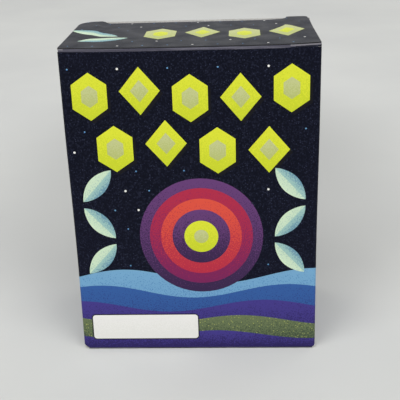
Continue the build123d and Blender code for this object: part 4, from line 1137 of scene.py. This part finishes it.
boardPaints = {"Color1": tint(24, 92, 62), "Color2": tint(20, 82, 56), "Mortar": tint(120, 150, 70)}
laminate = plastic("circuitLaminate", (0.3, 0.4), 500.0, 0.06)
tracks = laminate.add("TexBrick", Vector=laminate.place, Scale=260.0, Mortar_Size=0.03, **boardPaints)
laminate.paint(tracks.outputs["Color"])
dress(laminate.material, "circuit_board")
print("contents finished")


# Floor, light and camera

studio = {
    "floor": ((212, 213, 210), (206, 207, 205)),
    "floorHalf": 4.0,
    "floorPaintedShadow": tint(180, 181, 179),  # painted shadow: the sheet is painted darker, softly, behind the carton
    "paintedShadowMiddle": (-0.004, 0.175),
    "paintedShadowReach": (0.16, 0.2),
    "distance": tint(208, 209, 206),  # what lies beyond the floor
    "world": 0.32,
    "aim": (0, 0, 0.05),
    "lamps": {  # place, size and power
        "key": ((-2.1, -2.1, 2.25), (2.2, 2.2), 39.0),
        "fill": ((2.1, -2.1, 2.25), (2.2, 2.2), 36.0),
        "front": ((0.0, -1.5, 3.3), (3.0, 2.0), 64.0),
        "backLeft": ((-2.5, 2.2, 2.2), (1.8, 1.8), 12.0),
        "backRight": ((2.5, 2.2, 2.2), (1.8, 1.8), 12.0),
    },
}
paper = Finish("backdropPaper", Specular_IOR_Level=0.1, Roughness=0.9)
# a painted shadow: a soft round patch of darker paint on the floor behind the carton
squares = []
for spot, middle, reach in zip(paper.axes(), studio["paintedShadowMiddle"], studio["paintedShadowReach"]):
    share = paper.math("DIVIDE", paper.math("SUBTRACT", spot, middle), reach)
    squares.append(paper.math("MULTIPLY", share, share))
away = paper.math("SQRT", paper.math("ADD", *squares))
paintedShadowShare = paper.fit(away, 0.15, 1.0, 1.0, 0.0, smooth=True)
sheetPaint = paper.mottled(studio["floor"], paper.noise(9.0, 3.0))
paper.paint(paper.blend(paintedShadowShare, sheetPaint, studio["floorPaintedShadow"]))
paper.relief(paper.noise(420.0, 3.0, 0.6), 0.12, 0.2)
mesh = bpy.data.meshes.new("floor")
half = studio["floorHalf"]
mesh.from_pydata([(-half, -half, 0), (half, -half, 0), (half, half, 0), (-half, half, 0)], [], [(0, 1, 2, 3)])
mesh.materials.append(paper.material)
floor = placed("floor", mesh)

# the sky lights softly, and is a pale wall to the camera and in reflections
world = bpy.data.worlds.new("studio")
bpy.context.scene.world = world
world.use_nodes = True
sky = Nodes(world.node_tree)
roomLight = sky.tree.nodes["Background"]
roomLight.inputs["Color"].default_value = (1, 1, 1, 1)
roomLight.inputs["Strength"].default_value = studio["world"]
wall = sky.add("Background", Color=studio["distance"], Strength=1.0)
ray = sky.add("LightPath").outputs
seen = sky.math("MAXIMUM", ray["Is Camera Ray"], ray["Is Glossy Ray"])
either = sky.add("MixShader", i0=seen, i1=roomLight.outputs["Background"], i2=wall.outputs["Background"])
sky.feed(sky.tree.nodes["World Output"].inputs["Surface"], either.outputs["Shader"])

for name, (place, size, power) in studio["lamps"].items():
    lamp = bpy.data.lights.new(name, "AREA")
    lamp.shape = "RECTANGLE"
    lamp.size, lamp.size_y = size
    lamp.energy = power
    holder = placed(name, lamp)
    holder.location = place
    holder.rotation_euler = (Vector(studio["aim"]) - Vector(place)).to_track_quat("-Z", "Y").to_euler()

shot = {
    "target": (0.00195, -0.0228, 0.0535),
    "azimuth": 3.0,
    "elevation": 21.95,
    "roll": -1.87,
    "distance": 0.2617,
    "lens": 75.9,
    "sensor": 36.0,
}
azimuth, elevation, roll = (radians(shot[key]) for key in ("azimuth", "elevation", "roll"))
lensData = bpy.data.cameras.new("shot")
lensData.lens = shot["lens"]
lensData.sensor_width = shot["sensor"]
lensData.sensor_fit = "HORIZONTAL"
lensData.clip_start = 0.01
camera = placed("shot", lensData)
facing = Matrix.Rotation(azimuth, 4, "Z") @ Matrix.Rotation(pi / 2 - elevation, 4, "X")
back = Matrix.Translation((0, 0, shot["distance"]))
camera.matrix_world = Matrix.Translation(shot["target"]) @ facing @ Matrix.Rotation(roll, 4, "Z") @ back
bpy.context.scene.camera = camera
bpy.context.scene.view_settings.view_transform = "Standard"
print("floor, lamps and camera set")
